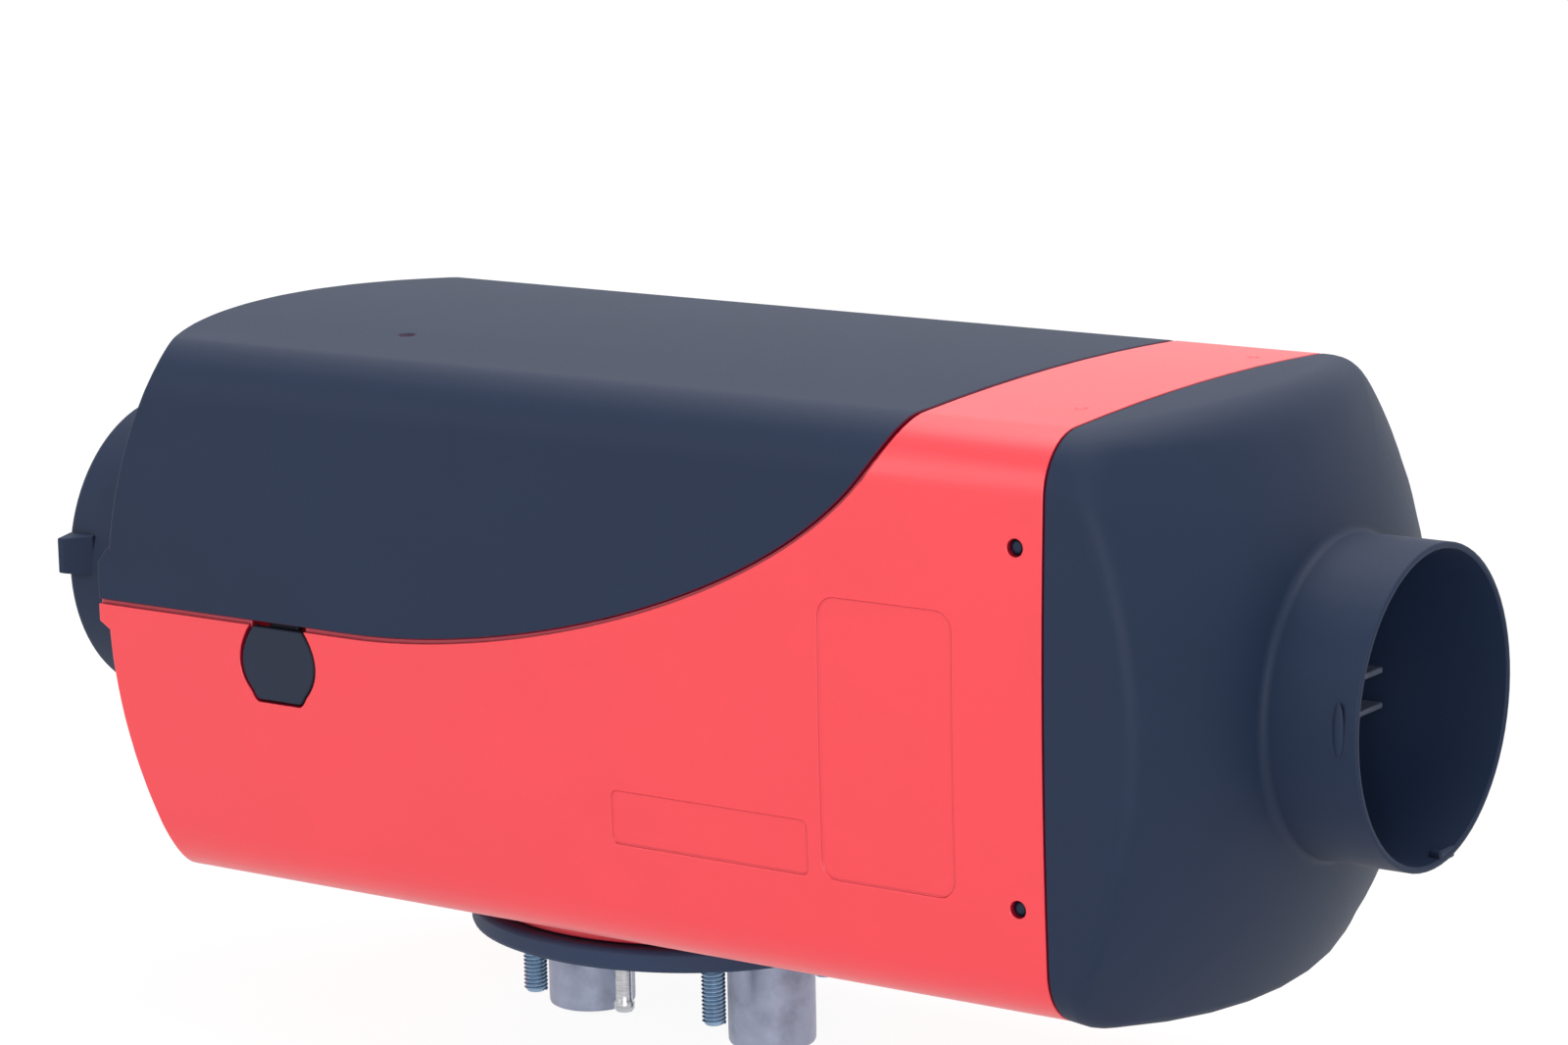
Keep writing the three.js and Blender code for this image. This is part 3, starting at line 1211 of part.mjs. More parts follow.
place('lower_shell', lowerShell(), redPlastic());
place('upper_cover', upperCover(), navyPlastic());
place('outlet_hood', outletHood(), navyPlastic());
place('inlet_hood', inletHood(), navyPlastic());
place('intake_grille', intakeGrille(), navyPlastic());
place('rear_latch', latchBody(), navyPlastic());
place('front_latch', mirrorY(latchBody()), navyPlastic());
place('heat_exchanger', heatExchanger(), castAluminium());
place('flange_gasket', flangeGasket(), blackRubber());
studPlaces.forEach((where, k) => place(`mounting_stud_${k + 1}`, mountingStud(where), zinc()));
place('burner_gasket', burnerGasket(), magnetGrey());
place('burner_tube', burnerTube(), heatSteel());
place('glow_plug', glowPlug(), steel());
place('glow_plug_screen', glowPlugScreen(), heatSteel());
place('fuel_tube', fuelTube(), steel());
place('overheat_sensor', overheatSensor(), blackPlastic());
place('sensor_clip', sensorClip(), steel());
place('blower_housing', blowerHousing(), castAluminium());
place('blower_cover', blowerCover(), castAluminium());
screwPlaces.forEach((where, k) => place(`blower_screw_${k + 1}`, blowerScrew(where), steel()));
place('combustion_wheel', combustionWheel(), castAluminium());
place('motor_housing', motorHousing(), steel());
place('motor_magnets', motorMagnets(), magnetGrey());
place('motor_armature', motorArmature(), heatSteel());
place('motor_shaft', motorShaft(), steel());
place('front_bearing', bearingAt(housingBackX + seatGap / 2), steel());
place('rear_bearing', bearingAt(motorBackX + seatGap / 2), steel());
place('hot_air_impeller', hotAirImpeller(), blackPlastic());
place('impeller_nut', impellerNut(), steel());
place('control_case', controlCase(), blackPlastic());
place('control_lid', controlLid(), blackPlastic());
place('control_board', controlBoard(), boardGreen());
place('cable_grommet', cableGrommet(), blackRubber());

export default heater;
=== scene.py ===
# %% [markdown]
# This file dresses a diesel air heater: a plastic casing in red and navy round a finned burner.
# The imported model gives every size. Here each part that shows gets its fine surface, its rounded
# edges and its material, and then a camera, a floor and soft lamps. Sizes are in millimetres in
# the code, about the air axis, and one helper turns them into metres in the part's own frame.

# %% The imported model
import json
import math
import bmesh
import bpy
from mathutils import Matrix, Vector


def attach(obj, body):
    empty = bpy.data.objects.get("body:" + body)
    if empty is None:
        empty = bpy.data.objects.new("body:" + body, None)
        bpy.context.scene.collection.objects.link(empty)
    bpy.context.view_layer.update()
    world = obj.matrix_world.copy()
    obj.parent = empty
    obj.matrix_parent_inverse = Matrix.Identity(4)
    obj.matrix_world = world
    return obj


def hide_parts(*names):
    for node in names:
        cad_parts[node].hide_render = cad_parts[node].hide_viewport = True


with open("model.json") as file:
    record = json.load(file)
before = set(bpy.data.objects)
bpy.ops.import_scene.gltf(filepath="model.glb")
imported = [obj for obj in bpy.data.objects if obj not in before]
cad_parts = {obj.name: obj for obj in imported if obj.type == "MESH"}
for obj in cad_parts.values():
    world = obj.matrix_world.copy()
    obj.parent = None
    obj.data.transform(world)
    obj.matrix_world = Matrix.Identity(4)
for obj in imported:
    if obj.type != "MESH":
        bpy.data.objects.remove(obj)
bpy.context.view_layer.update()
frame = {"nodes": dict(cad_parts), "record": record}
MM = 0.001
AXIS = 80.0

# %% [markdown]
# The camera comes first. It stands where the photographer stood: about a metre off with a long
# lens, 35 degrees round towards the outlet and 11 degrees up, with the smallest tilt to the right.

# %% Camera
FOCAL_PIXELS, FRAME_PIXELS, SENSOR = 4968.7, 1600, 36
CAMERA_TARGET, CAMERA_DISTANCE = Vector((0.03449, 0, 0.1048)), 1.18497
azimuth, elevation, roll = (math.radians(a) for a in (34.895, 11.429, -1.108))
back = Vector((math.sin(azimuth) * math.cos(elevation), -math.cos(azimuth) * math.cos(elevation),
               math.sin(elevation)))
right = Vector((math.cos(azimuth), math.sin(azimuth), 0))
up = back.cross(right)
tilted_right = right * math.cos(roll) + up * math.sin(roll)
tilted_up = back.cross(tilted_right)
camera = bpy.data.objects.new("camera", bpy.data.cameras.new("camera"))
camera.data.sensor_width = SENSOR
camera.data.lens = SENSOR * FOCAL_PIXELS / FRAME_PIXELS
camera.data.clip_start, camera.data.clip_end = 0.05, 50
camera.matrix_world = Matrix((
    (tilted_right.x, tilted_up.x, back.x, 0), (tilted_right.y, tilted_up.y, back.y, 0),
    (tilted_right.z, tilted_up.z, back.z, 0), (0, 0, 0, 1)))
camera.location = CAMERA_TARGET + back * CAMERA_DISTANCE
bpy.context.collection.objects.link(camera)
bpy.context.scene.camera = camera
print("camera at", [round(v, 3) for v in camera.location])

# %% [markdown]
# Small tools for shapes. A loft is grown ring by ring: an edge loop is extruded and its new
# corners are moved to the next ring, which suits a casing whose section changes along its length.
# A turned piece is an outline spun round an axis, and a slab is a flat outline given depth.

# %% Shape tools
def at(x, y, z):
    return Vector((x, y, z + AXIS)) * MM


def placed(name, data):
    """A new object with this mesh or curve."""
    thing = bpy.data.objects.new(name, data)
    bpy.context.collection.objects.link(thing)
    return thing


def from_bmesh(bm, name):
    mesh = bpy.data.meshes.new(name)
    bm.to_mesh(mesh)
    bm.free()
    return placed(name, mesh)


def to_object(bm, name):
    """A new object from drawn faces: corners that meet are merged and the faces turn outwards."""
    bmesh.ops.remove_doubles(bm, verts=bm.verts, dist=0.002 * MM)
    bmesh.ops.recalc_face_normals(bm, faces=bm.faces)
    return from_bmesh(bm, name)


def final_mesh(thing):
    """The mesh as its modifiers or its curve leave it."""
    return bpy.data.meshes.new_from_object(thing.evaluated_get(bpy.context.evaluated_depsgraph_get()))


def grow(bm, ring, edges, points):
    """Extrudes the open edge loop and moves each new corner to its point."""
    grown = bmesh.ops.extrude_edge_only(bm, edges=edges)["geom"]
    fresh = {g for g in grown if isinstance(g, bmesh.types.BMVert)}
    following = [next(e.other_vert(v) for e in v.link_edges if e.other_vert(v) in fresh) for v in ring]
    for corner, point in zip(following, points):
        corner.co = point
    new_edges = [bm.edges.get((following[k - 1], following[k])) for k in range(len(following))]
    return following, new_edges


def loft(name, rings, closed=True):
    """A skin over rings of equal length. Closed joins the last ring to the first, else the ends are capped."""
    bm = bmesh.new()
    ring = [bm.verts.new(point) for point in rings[0]]
    first_edges = edges = [bm.edges.new((ring[k - 1], ring[k])) for k in range(len(ring))]
    first = ring
    for points in rings[1:]:
        ring, edges = grow(bm, ring, edges, points)
    if closed:
        ring, edges = grow(bm, ring, edges, rings[0])
    else:
        bm.faces.new(first)
        bm.faces.new(ring)
    return to_object(bm, name)


def turned(name, profile, steps=64, axis="X", centre=(0, 0)):
    """Spins (along, radius) points round the X axis, or round an upright through centre."""
    bm = bmesh.new()
    if axis == "X":
        corners = [bm.verts.new(at(a, centre[0], centre[1] + r)) for a, r in profile]
        middle, direction = at(0, *centre), (1, 0, 0)
    else:
        corners = [bm.verts.new(at(centre[0] + r, centre[1], a)) for a, r in profile]
        middle, direction = at(*centre, 0), (0, 0, 1)
    edges = [bm.edges.new(pair) for pair in zip(corners, corners[1:])]
    bmesh.ops.spin(bm, geom=corners + edges, cent=middle, axis=direction, dvec=(0, 0, 0),
                   angle=2 * math.pi, steps=steps, use_merge=True)
    return to_object(bm, name)


def slab(name, outline, along, start, end):
    """A flat outline pushed along Y (points x, z), X (points y, z) or Z (points x, y)."""
    place = {"Y": lambda u, v, d: at(u, d, v), "X": lambda u, v, d: at(d, u, v),
             "Z": lambda u, v, d: at(u, v, d)}[along]
    bm = bmesh.new()
    face = bm.faces.new([bm.verts.new(place(u, v, start)) for u, v in outline])
    grown = bmesh.ops.extrude_face_region(bm, geom=[face])["geom"]
    shift = place(0, 0, end) - place(0, 0, start)
    bmesh.ops.translate(bm, verts=[g for g in grown if isinstance(g, bmesh.types.BMVert)], vec=shift)
    return to_object(bm, name)


def rounded(left, bottom, width, height, corner, steps=6):
    """A rectangle's outline with round corners."""
    points = []
    for cx, cy, start in ((width - corner, corner, -90), (width - corner, height - corner, 0),
                          (corner, height - corner, 90), (corner, corner, 180)):
        for k in range(steps + 1):
            angle = math.radians(start + 90 * k / steps)
            points.append((left + cx + corner * math.cos(angle), bottom + cy + corner * math.sin(angle)))
    return points


def ellipse(half_x, half_y, count=96):
    return [(half_x * math.cos(2 * math.pi * k / count), half_y * math.sin(2 * math.pi * k / count))
            for k in range(count)]


def box(name, x0, x1, y0, y1, z0, z1):
    return slab(name, [(x0, y0), (x1, y0), (x1, y1), (x0, y1)], "Z", z0, z1)


def upright(name, x, y, low, high, radius, steps=64):
    """A plain round post or bore."""
    return turned(name, [(low, 0), (low, radius), (high, radius), (high, 0)], steps, "Z", (x, y))


def bend(a, control, b, steps):
    """Points along a quadratic curve from a, without its end b."""
    return [tuple((1 - t) ** 2 * a[i] + 2 * t * (1 - t) * control[i] + t * t * b[i] for i in (0, 1))
            for t in (k / steps for k in range(steps))]


def between(starts, ends, share):
    """Points at this share of the way from each start to its end. The share can be a list of them."""
    shares = share if isinstance(share, list) else [share] * len(starts)
    return [(a[0] + (b[0] - a[0]) * t, a[1] + (b[1] - a[1]) * t) for a, b, t in zip(starts, ends, shares)]


def rolled(piece, place, degrees):
    """Turns the piece about a line along X through the place."""
    piece.data.transform(Matrix.Translation(place) @ Matrix.Rotation(math.radians(degrees), 4, "X")
                         @ Matrix.Translation(-place))
    return piece


# %% [markdown]
# Cuts and joins. A Boolean modifier does the cut with the exact solver, its result is taken as the
# new mesh, and the cutter is thrown away. Pieces that only touch are joined without a cut.

# %% Cutting and joining
def carve(piece, tool, operation="DIFFERENCE"):
    cut = piece.modifiers.new("cut", "BOOLEAN")
    cut.operation, cut.object, cut.solver = operation, tool, "EXACT"
    old, piece.data = piece.data, final_mesh(piece)
    piece.modifiers.clear()
    bpy.data.meshes.remove(old)
    bpy.data.objects.remove(tool)
    return piece


def together(name, *pieces):
    bm = bmesh.new()
    for piece in pieces:
        bm.from_mesh(piece.data)
        bpy.data.objects.remove(piece)
    return from_bmesh(bm, name)


def mirrored(piece, name):
    bm = bmesh.new()
    bm.from_mesh(piece.data)
    bmesh.ops.scale(bm, vec=(1, -1, 1), verts=bm.verts)
    bmesh.ops.reverse_faces(bm, faces=bm.faces)
    return from_bmesh(bm, name)


def dress(piece, material, body, nodes, edge=0.25, angle=32, within=None):
    """Rounds the sharp edges, smooths the rest, and hands the piece to its body.

    within holds the rounded mesh to this half width, since a rounding can overshoot at a flat corner.
    """
    bm = bmesh.new()
    bm.from_mesh(piece.data)
    if edge:
        bmesh.ops.remove_doubles(bm, verts=bm.verts, dist=0.02 * MM)
        bmesh.ops.dissolve_degenerate(bm, edges=bm.edges, dist=0.02 * MM)
        bmesh.ops.dissolve_limit(bm, angle_limit=math.radians(0.3), verts=bm.verts, edges=bm.edges)
    bm.to_mesh(piece.data)
    bm.free()
    piece.data.materials.clear()
    piece.data.materials.append(material)
    piece.data.shade_smooth()
    piece.data.set_sharp_from_angle(angle=math.radians(angle))
    if edge:
        soft = piece.modifiers.new("soft edges", "BEVEL")
        soft.width, soft.segments, soft.limit_method = edge * MM, 2, "ANGLE"
        soft.angle_limit, soft.use_clamp_overlap, soft.harden_normals = math.radians(angle), False, False
    if within:
        done = final_mesh(piece)
        for corner in done.vertices:
            corner.co.y = max(-within * MM, min(within * MM, corner.co.y))
        piece.modifiers.clear()
        piece.data = done
    evened = piece.modifiers.new("even shading", "WEIGHTED_NORMAL")
    evened.keep_sharp = True
    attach(piece, body)
    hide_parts(*nodes)
    print(piece.name, len(piece.data.polygons), "faces")
    return piece


# %% [markdown]
# Materials. Every moulded part has a fine spark-eroded grain, so its bump comes from a small noise
# at a few tenths of a millimetre, and its colour drifts a little over some centimetres. The grain
# also varies the roughness, which keeps highlights broad and slightly broken. Little light reaches
# a narrow gap, and what does has bounced off its walls, so shade is painted there: the share of open
# space round a point, from ambient occlusion, mixes the base colour with a deeper painted-shade
# colour, and the coat fades with it.

# %% Material tools
def nodes_of(name):
    material = bpy.data.materials.new(name)
    material.use_nodes = True
    tree = material.node_tree
    return material, tree, tree.nodes["Principled BSDF"], tree.nodes.new("ShaderNodeTexCoord")


def noise(tree, coords, scale, detail=3.0, roughness=0.55):
    node = tree.nodes.new("ShaderNodeTexNoise")
    node.inputs["Scale"].default_value = scale
    node.inputs["Detail"].default_value = detail
    node.inputs["Roughness"].default_value = roughness
    tree.links.new(coords.outputs["Object"], node.inputs["Vector"])
    return node.outputs["Fac"]


def ramp(tree, value, *stops):
    node = tree.nodes.new("ShaderNodeValToRGB")
    bar = node.color_ramp
    while len(bar.elements) < len(stops):
        bar.elements.new(0.5)
    for element, (position, colour) in zip(bar.elements, stops):
        element.position = position
        element.color = (*colour, 1)
    tree.links.new(value, node.inputs["Fac"])
    return node.outputs["Color"]


def spread(tree, value, low, high):
    node = tree.nodes.new("ShaderNodeMapRange")
    node.inputs["To Min"].default_value = low
    node.inputs["To Max"].default_value = high
    tree.links.new(value, node.inputs["Value"])
    return node.outputs["Result"]


def bump(tree, shader, height, strength, distance):
    node = tree.nodes.new("ShaderNodeBump")
    node.inputs["Strength"].default_value = strength
    node.inputs["Distance"].default_value = distance
    tree.links.new(height, node.inputs["Height"])
    tree.links.new(node.outputs["Normal"], shader.inputs["Normal"])


def linear(red, green, blue):
    """A colour read off as 0-255 screen values, as the light values that the shader wants."""
    return tuple(((c / 255 + 0.055) / 1.055) ** 2.4 if c > 10 else c / 255 / 12.92 for c in (red, green, blue))


def shade(colour, factor):
    return tuple(min(1.0, c * factor) for c in colour)


GAP_SHADE_REACH = 0.0028


def moulded(name, colour, roughness, specular, grain=2300, depth=0.00006, drift=0.05, coat=0.0, gap=None):
    """Grained plastic, rubber or pressed stuff, with painted shade in narrow gaps, where its colour goes over to a
    deeper one.
    """
    material, tree, shader, coords = nodes_of(name)
    fine = noise(tree, coords, grain, 2.0, 0.6)
    broad = noise(tree, coords, 28, 3.0)
    tint = ramp(tree, broad, (0.3, shade(colour, 1 - drift)), (0.7, shade(colour, 1 + drift)))
    # Painted shade: where ambient occlusion finds little open space, the base colour goes over to the gap colour and
    # the coat thins.
    gaps = tree.nodes.new("ShaderNodeAmbientOcclusion")
    gaps.samples, gaps.inputs["Distance"].default_value = 12, GAP_SHADE_REACH
    shaded = tree.nodes.new("ShaderNodeMix")
    shaded.data_type = "RGBA"
    shaded.inputs[6].default_value = (*(gap or shade(colour, 0.3)), 1)
    tree.links.new(ramp(tree, gaps.outputs["AO"], (0.5, (0, 0, 0)), (0.94, (1, 1, 1))), shaded.inputs[0])
    tree.links.new(tint, shaded.inputs[7])
    tree.links.new(shaded.outputs[2], shader.inputs["Base Color"])
    tree.links.new(spread(tree, fine, roughness - 0.06, roughness + 0.06), shader.inputs["Roughness"])
    shader.inputs["Specular IOR Level"].default_value = specular
    tree.links.new(spread(tree, gaps.outputs["AO"], 0, coat), shader.inputs["Coat Weight"])
    shader.inputs["Coat Roughness"].default_value = 0.32
    bump(tree, shader, fine, 0.35, depth)
    return material


def cast(name, colour, roughness=0.42, metallic=0.85):
    """Sand-rough cast aluminium with darker patches."""
    material, tree, shader, coords = nodes_of(name)
    rough = noise(tree, coords, 900, 4.0, 0.65)
    patches = noise(tree, coords, 90, 4.0, 0.6)
    tint = ramp(tree, patches, (0.25, shade(colour, 0.62)), (0.5, colour), (0.8, shade(colour, 1.25)))
    tree.links.new(tint, shader.inputs["Base Color"])
    tree.links.new(spread(tree, patches, roughness + 0.14, roughness - 0.1), shader.inputs["Roughness"])
    shader.inputs["Metallic"].default_value = metallic
    bump(tree, shader, rough, 0.5, 0.00012)
    return material


def worked(name, colour, roughness=0.28, stretch=(1, 1, 30), metallic=1.0):
    """Turned or drawn metal with fine lines across the stretched direction."""
    material, tree, shader, coords = nodes_of(name)
    mapping = tree.nodes.new("ShaderNodeMapping")
    mapping.inputs["Scale"].default_value = stretch
    tree.links.new(coords.outputs["Object"], mapping.inputs["Vector"])
    lines = tree.nodes.new("ShaderNodeTexNoise")
    lines.inputs["Scale"].default_value = 260
    lines.inputs["Detail"].default_value = 4
    tree.links.new(mapping.outputs["Vector"], lines.inputs["Vector"])
    tint = ramp(tree, lines.outputs["Fac"], (0.25, shade(colour, 0.7)), (0.75, shade(colour, 1.15)))
    tree.links.new(tint, shader.inputs["Base Color"])
    tree.links.new(spread(tree, lines.outputs["Fac"], roughness - 0.08, roughness + 0.12), shader.inputs["Roughness"])
    shader.inputs["Metallic"].default_value = metallic
    bump(tree, shader, lines.outputs["Fac"], 0.25, 0.00004)
    return material


# %% [markdown]
# One finish for each material of the real heater, and one more for the cover: the same navy, but
# its painted gap shade is a deep red, painted as the light bounced into its gaps off the red shell
# beside it. The fan with its swept blades, the blower, the motor and the other pieces deep inside
# keep their solids as they are, and get their finish here.

# %% The finishes
navy = moulded("navy plastic", linear(27, 42, 68), 0.58, 0.26)
# Painted shade: the cover's gaps go over to a deep red, standing for light bounced off the red shell.
navy_red_gap_shade = moulded("navy plastic, red gap shade", linear(27, 42, 68), 0.58, 0.26, gap=linear(128, 14, 46))
# Painted shade: in narrow gaps the red goes over to a deep crimson.
red = moulded("red plastic", linear(250, 47, 62), 0.42, 0.8, drift=0.02, coat=0.3,
              gap=linear(164, 12, 48))
latch_navy = moulded("latch plastic", linear(30, 40, 60), 0.55, 0.26, grain=2900, depth=0.00004)
black = moulded("black plastic", linear(30, 31, 35), 0.45, 0.3)
aluminium = cast("cast aluminium", linear(150, 157, 178), 0.4, 0.7)
zinc = worked("zinc plated steel", linear(140, 165, 190), 0.26, (1, 1, 1))
steel = worked("satin steel", linear(190, 192, 196), 0.24, (1, 1, 12))
bright = worked("turned aluminium", linear(206, 208, 212), 0.25, (1, 14, 14))
tinted = worked("heat tinted steel", linear(140, 124, 108), 0.34, (1, 10, 10))
rubber = moulded("gasket rubber", linear(40, 60, 90), 0.6, 0.35, grain=1400, depth=0.0001, drift=0.1)
fibre = moulded("pressed fibre", linear(120, 120, 122), 0.85, 0.2, grain=1200, depth=0.0002, drift=0.15)
ferrite = moulded("ferrite", linear(70, 70, 74), 0.6, 0.3, grain=900, drift=0.1)
iron = worked("stacked iron", linear(120, 112, 104), 0.4, (60, 1, 1))
board_green = moulded("board", linear(24, 84, 56), 0.35, 0.5, grain=600, depth=0.00003, drift=0.2)
finishes = {
    "navy_plastic": navy, "red_plastic": red, "latch_plastic": latch_navy, "cast_aluminium": aluminium,
    "turned_aluminium": bright, "gasket_rubber": rubber, "zinc_steel": zinc, "bright_steel": steel,
    "heat_steel": tinted, "sheet_gasket": fibre, "black_plastic": black, "magnet": ferrite,
    "laminations": iron, "board": board_green,
}
for part in frame["record"]["subparts"]:
    node = frame["nodes"][part["node"]]
    for place in node.material_slots:
        place.material = finishes[part["material_slot"]]
print("finishes", len(finishes))

# %% [markdown]
# The casing. On the real heater two plastic mouldings share one outline: four gently crowned sides
# and round corners. So the outline is drawn once, as a ring of points that any inset can shrink,
# and lofted into a tube. Later the tube is cut by the sphere that shapes the inlet end, and parted
# along the curved seam.

# %% The casing's outline
HALF, TOP, BOTTOM = 70.0, 69.2, 70.0
SIDE_CROWN, TOP_CROWN, FLOOR_CROWN, UPPER, LOWER = 1.3, 1.6, 2.0, 14.5, 15.0
WALL, JOINT, BLANK_START = 2.5, 151.0, -130
INLET_R, INLET_CENTRE, OUTLET_R, OUTLET_CENTRE = 131.0, -13.2, 134.0, 59.4
CROWN_STEPS, CORNER_STEPS = 8, 10


def section(inset=0.0):
    """(y, z) points round the casing, from the floor's left end."""
    side, roof, floor = HALF - SIDE_CROWN - inset, TOP - TOP_CROWN - inset, -BOTTOM + FLOOR_CROWN + inset
    upper, lower = max(UPPER - inset, 0.6), max(LOWER - inset, 0.6)
    middle = (roof - upper + floor + lower) / 2

    def crown(a, control, b):
        return bend(a, control, b, CROWN_STEPS)

    def corner(cy, cz, radius, start):
        angles = [math.radians(start + 90 * k / CORNER_STEPS) for k in range(CORNER_STEPS)]
        return [(cy + radius * math.cos(angle), cz + radius * math.sin(angle)) for angle in angles]

    return (crown((-side + lower, floor), (0, floor - 2 * FLOOR_CROWN), (side - lower, floor))
            + corner(side - lower, floor + lower, lower, -90)
            + crown((side, floor + lower), (side + 2 * SIDE_CROWN, middle), (side, roof - upper))
            + corner(side - upper, roof - upper, upper, 0)
            + crown((side - upper, roof), (0, roof + 2 * TOP_CROWN), (-side + upper, roof))
            + corner(-side + upper, roof - upper, upper, 90)
            + crown((-side, roof - upper), (-side - 2 * SIDE_CROWN, middle), (-side, floor + lower))
            + corner(-side + lower, floor + lower, lower, 180))


RING = len(section())


def circle(radius):
    """As many points on a circle, each facing its point of the outline."""
    return [(radius * math.cos(a), radius * math.sin(a)) for a in
            (-math.pi / 2 + 2 * math.pi * (k - CROWN_STEPS / 2) / RING for k in range(RING))]


def tube(name, inset, thickness, x0, x1):
    outer, inner = section(inset), section(inset + thickness)
    return loft(name, [[at(x, y, z) for y, z in ring] for x, ring in
                       ((x0, outer), (x1, outer), (x1, inner), (x0, inner))])


print("points round the casing", RING)

# %% [markdown]
# The cover and the shell part along one curve. It is level at the latches, then rises in a sweep to
# the roof, so it is a straight line and a cubic curve. The slab over it cuts both mouldings, moved
# a little down for the shell and up for the cover, which leaves the gap between them.

# %% The seam and the inlet end
SEAM_Z, SEAM_END, SEAM_HANDLE, SEAM_TOP, RISE = 1.0, -46.0, 57.6, 111.2, math.radians(70.2)
RISE_HANDLE, LEFT_END = 41.9, -200


def above_seam(shift, steps=40):
    """The space over the seam, as a slab right across the casing."""
    rise = (math.cos(RISE), math.sin(RISE))
    end = (SEAM_TOP - rise[1] * shift, TOP - TOP_CROWN + rise[0] * shift)
    p = [(SEAM_END, SEAM_Z + shift), (SEAM_END + SEAM_HANDLE, SEAM_Z + shift),
         (end[0] - RISE_HANDLE * rise[0], end[1] - RISE_HANDLE * rise[1]), end]
    outline = [(LEFT_END, SEAM_Z + shift)]
    for k in range(steps + 1):
        t = k / steps
        w = ((1 - t) ** 3, 3 * t * (1 - t) ** 2, 3 * t * t * (1 - t), t ** 3)
        outline.append(tuple(sum(w[j] * p[j][i] for j in range(4)) for i in (0, 1)))
    outline += [(end[0], 100), (LEFT_END, 100)]
    return slab("above seam", outline, "Y", -90, 90)


def inlet_end():
    """A long body whose front is the sphere, with the locating lugs at the seam."""
    rim = 100.0
    arc = [(INLET_CENTRE - math.sqrt(INLET_R ** 2 - r * r), r) for r in (rim * k / 24 for k in range(25))]
    body = turned("inlet end", arc + [(180, rim), (180, 0)], 128)
    edge = INLET_CENTRE - math.sqrt(INLET_R ** 2 - HALF ** 2)
    lug = slab("lug", [(edge - 3.2, -4), (edge - 3.2, 11), (edge, 15), (edge + 4, 15), (edge + 4, -6),
                       (edge, -6)], "Y", -95, 95)
    return carve(body, lug, "UNION")


def casing_blank(name):
    return carve(tube(name, 0, WALL, BLANK_START, JOINT), inlet_end(), "INTERSECT")


# %% [markdown]
# A latch shows as a barrel: a flat top and foot with round corners, and bellied sides. The same
# outline with a margin cuts its notch in the shell.

# %% Latch outline
LATCH_X, LATCH_TOP, LATCH_LOW = -69.0, 0.2, -18.2


def latch_outline(margin, steps=10):
    top, bottom, middle = LATCH_TOP + margin, LATCH_LOW - margin, (LATCH_TOP + LATCH_LOW) / 2
    corner, half_top, half_low = 2 + margin, 7.8 + margin, 8.2 + margin
    bulge = 23 + 2 * margin - (half_top + half_low) / 2

    def side(sign):
        low = (LATCH_X + sign * half_low, bottom + corner)
        tip = (LATCH_X + sign * (half_low - corner), bottom)
        knee = (LATCH_X + sign * (half_low - corner / 2), bottom)
        crest = (LATCH_X + sign * half_top, top)
        belly = (LATCH_X + sign * bulge, middle)
        return crest, belly, low, knee, tip

    crest, belly, low, knee, tip = side(-1)
    points = bend(crest, belly, low, steps) + bend(low, knee, tip, steps) + [tip]
    crest, belly, low, knee, tip = side(1)
    return points + bend(tip, knee, low, steps) + bend(low, belly, crest, steps) + [crest]


# %% [markdown]
# The red lower shell carries nearly everything: the plinth over the flange, the notches and
# pockets of the two latches, the holes that the outlet hood snaps into and two shallow bare
# fields on its side. Each is cut or added as on the mould. A lip stands behind the seam to locate
# the cover, and a thin strip in front of it closes the view into the gap.

# %% Lower shell
SNAP_X, SNAP_LEVELS, SNAP_ROOF_Y, SNAP_ROOF_X = 144, (-39.8, 42.2), 39, 143
PLINTH_LOW, GASKET_LOW = -74, -80.0


def lying(piece, level, degrees):
    """Lays an upright piece at the snaps along Y, at this level."""
    piece.data.transform(Matrix.Translation(at(SNAP_X, 0, level)) @ Matrix.Rotation(math.radians(degrees), 4, "X")
                         @ Matrix.Translation(-at(SNAP_X, 0, 0)))
    return piece


shell = carve(casing_blank("shell_moulding"), above_seam(-0.55))
plinth = slab("plinth", ellipse(50.1, 43.8), "Z", PLINTH_LOW, -67.8)
shell = carve(shell, plinth, "UNION")
shell = carve(shell, slab("foot hole", ellipse(44.5, 38), "Z", -76, -64.8))
shell = carve(shell, upright("cable hole", -80, 26, -76, -62, 7.3, 48))
roof_dimple = [(68.0, 0), (68.1, 1.2), (68.7, 2.0), (80, 2.1), (80, 0)]
for side in (-1, 1):
    reach = (-90, -63) if side < 0 else (63, 90)
    shell = carve(shell, slab("notch", latch_outline(0.6), "Y", *reach))
    for z in SNAP_LEVELS:
        shell = carve(shell, lying(upright("hole", SNAP_X, 0, -90, -60, 2.05, 40), z, 90 * side))
    shell = carve(shell, turned("top dimple", roof_dimple, 40, "Z", (SNAP_ROOF_X, SNAP_ROOF_Y * side)))
for outline in (rounded(91.6, -40, 35.9, 66, 4.5, 8), rounded(32.1, -40, 55.4, 13, 1.5, 4)):
    field = carve(slab("field", outline, "Y", -90, -50), tube("core", 0.4, 30, 0, 140), "DIFFERENCE")
    shell = carve(shell, field)
lip = carve(tube("lip", WALL + 0.2, 1.6, -91.5, JOINT - 14.5), above_seam(-6), "INTERSECT")
lip = carve(lip, above_seam(4))
for side in (-1, 1):
    low, high = sorted((side * 60, side * 67.4))
    lip = carve(lip, box("lip gap", LATCH_X - 12.1, LATCH_X + 12.1, low, high, LATCH_LOW, 9))


def latch_pocket(side):
    low, high = sorted((side * 61.4, side * 67.6))
    outer = box("pocket", LATCH_X - 13.9, LATCH_X + 13.9, low, high, LATCH_LOW - 1.9, 0.3)
    low, high = sorted((side * 62.7, side * 72))
    return carve(outer, box("pocket space", LATCH_X - 12.6, LATCH_X + 12.6, low, high, LATCH_LOW - 0.6, 9))
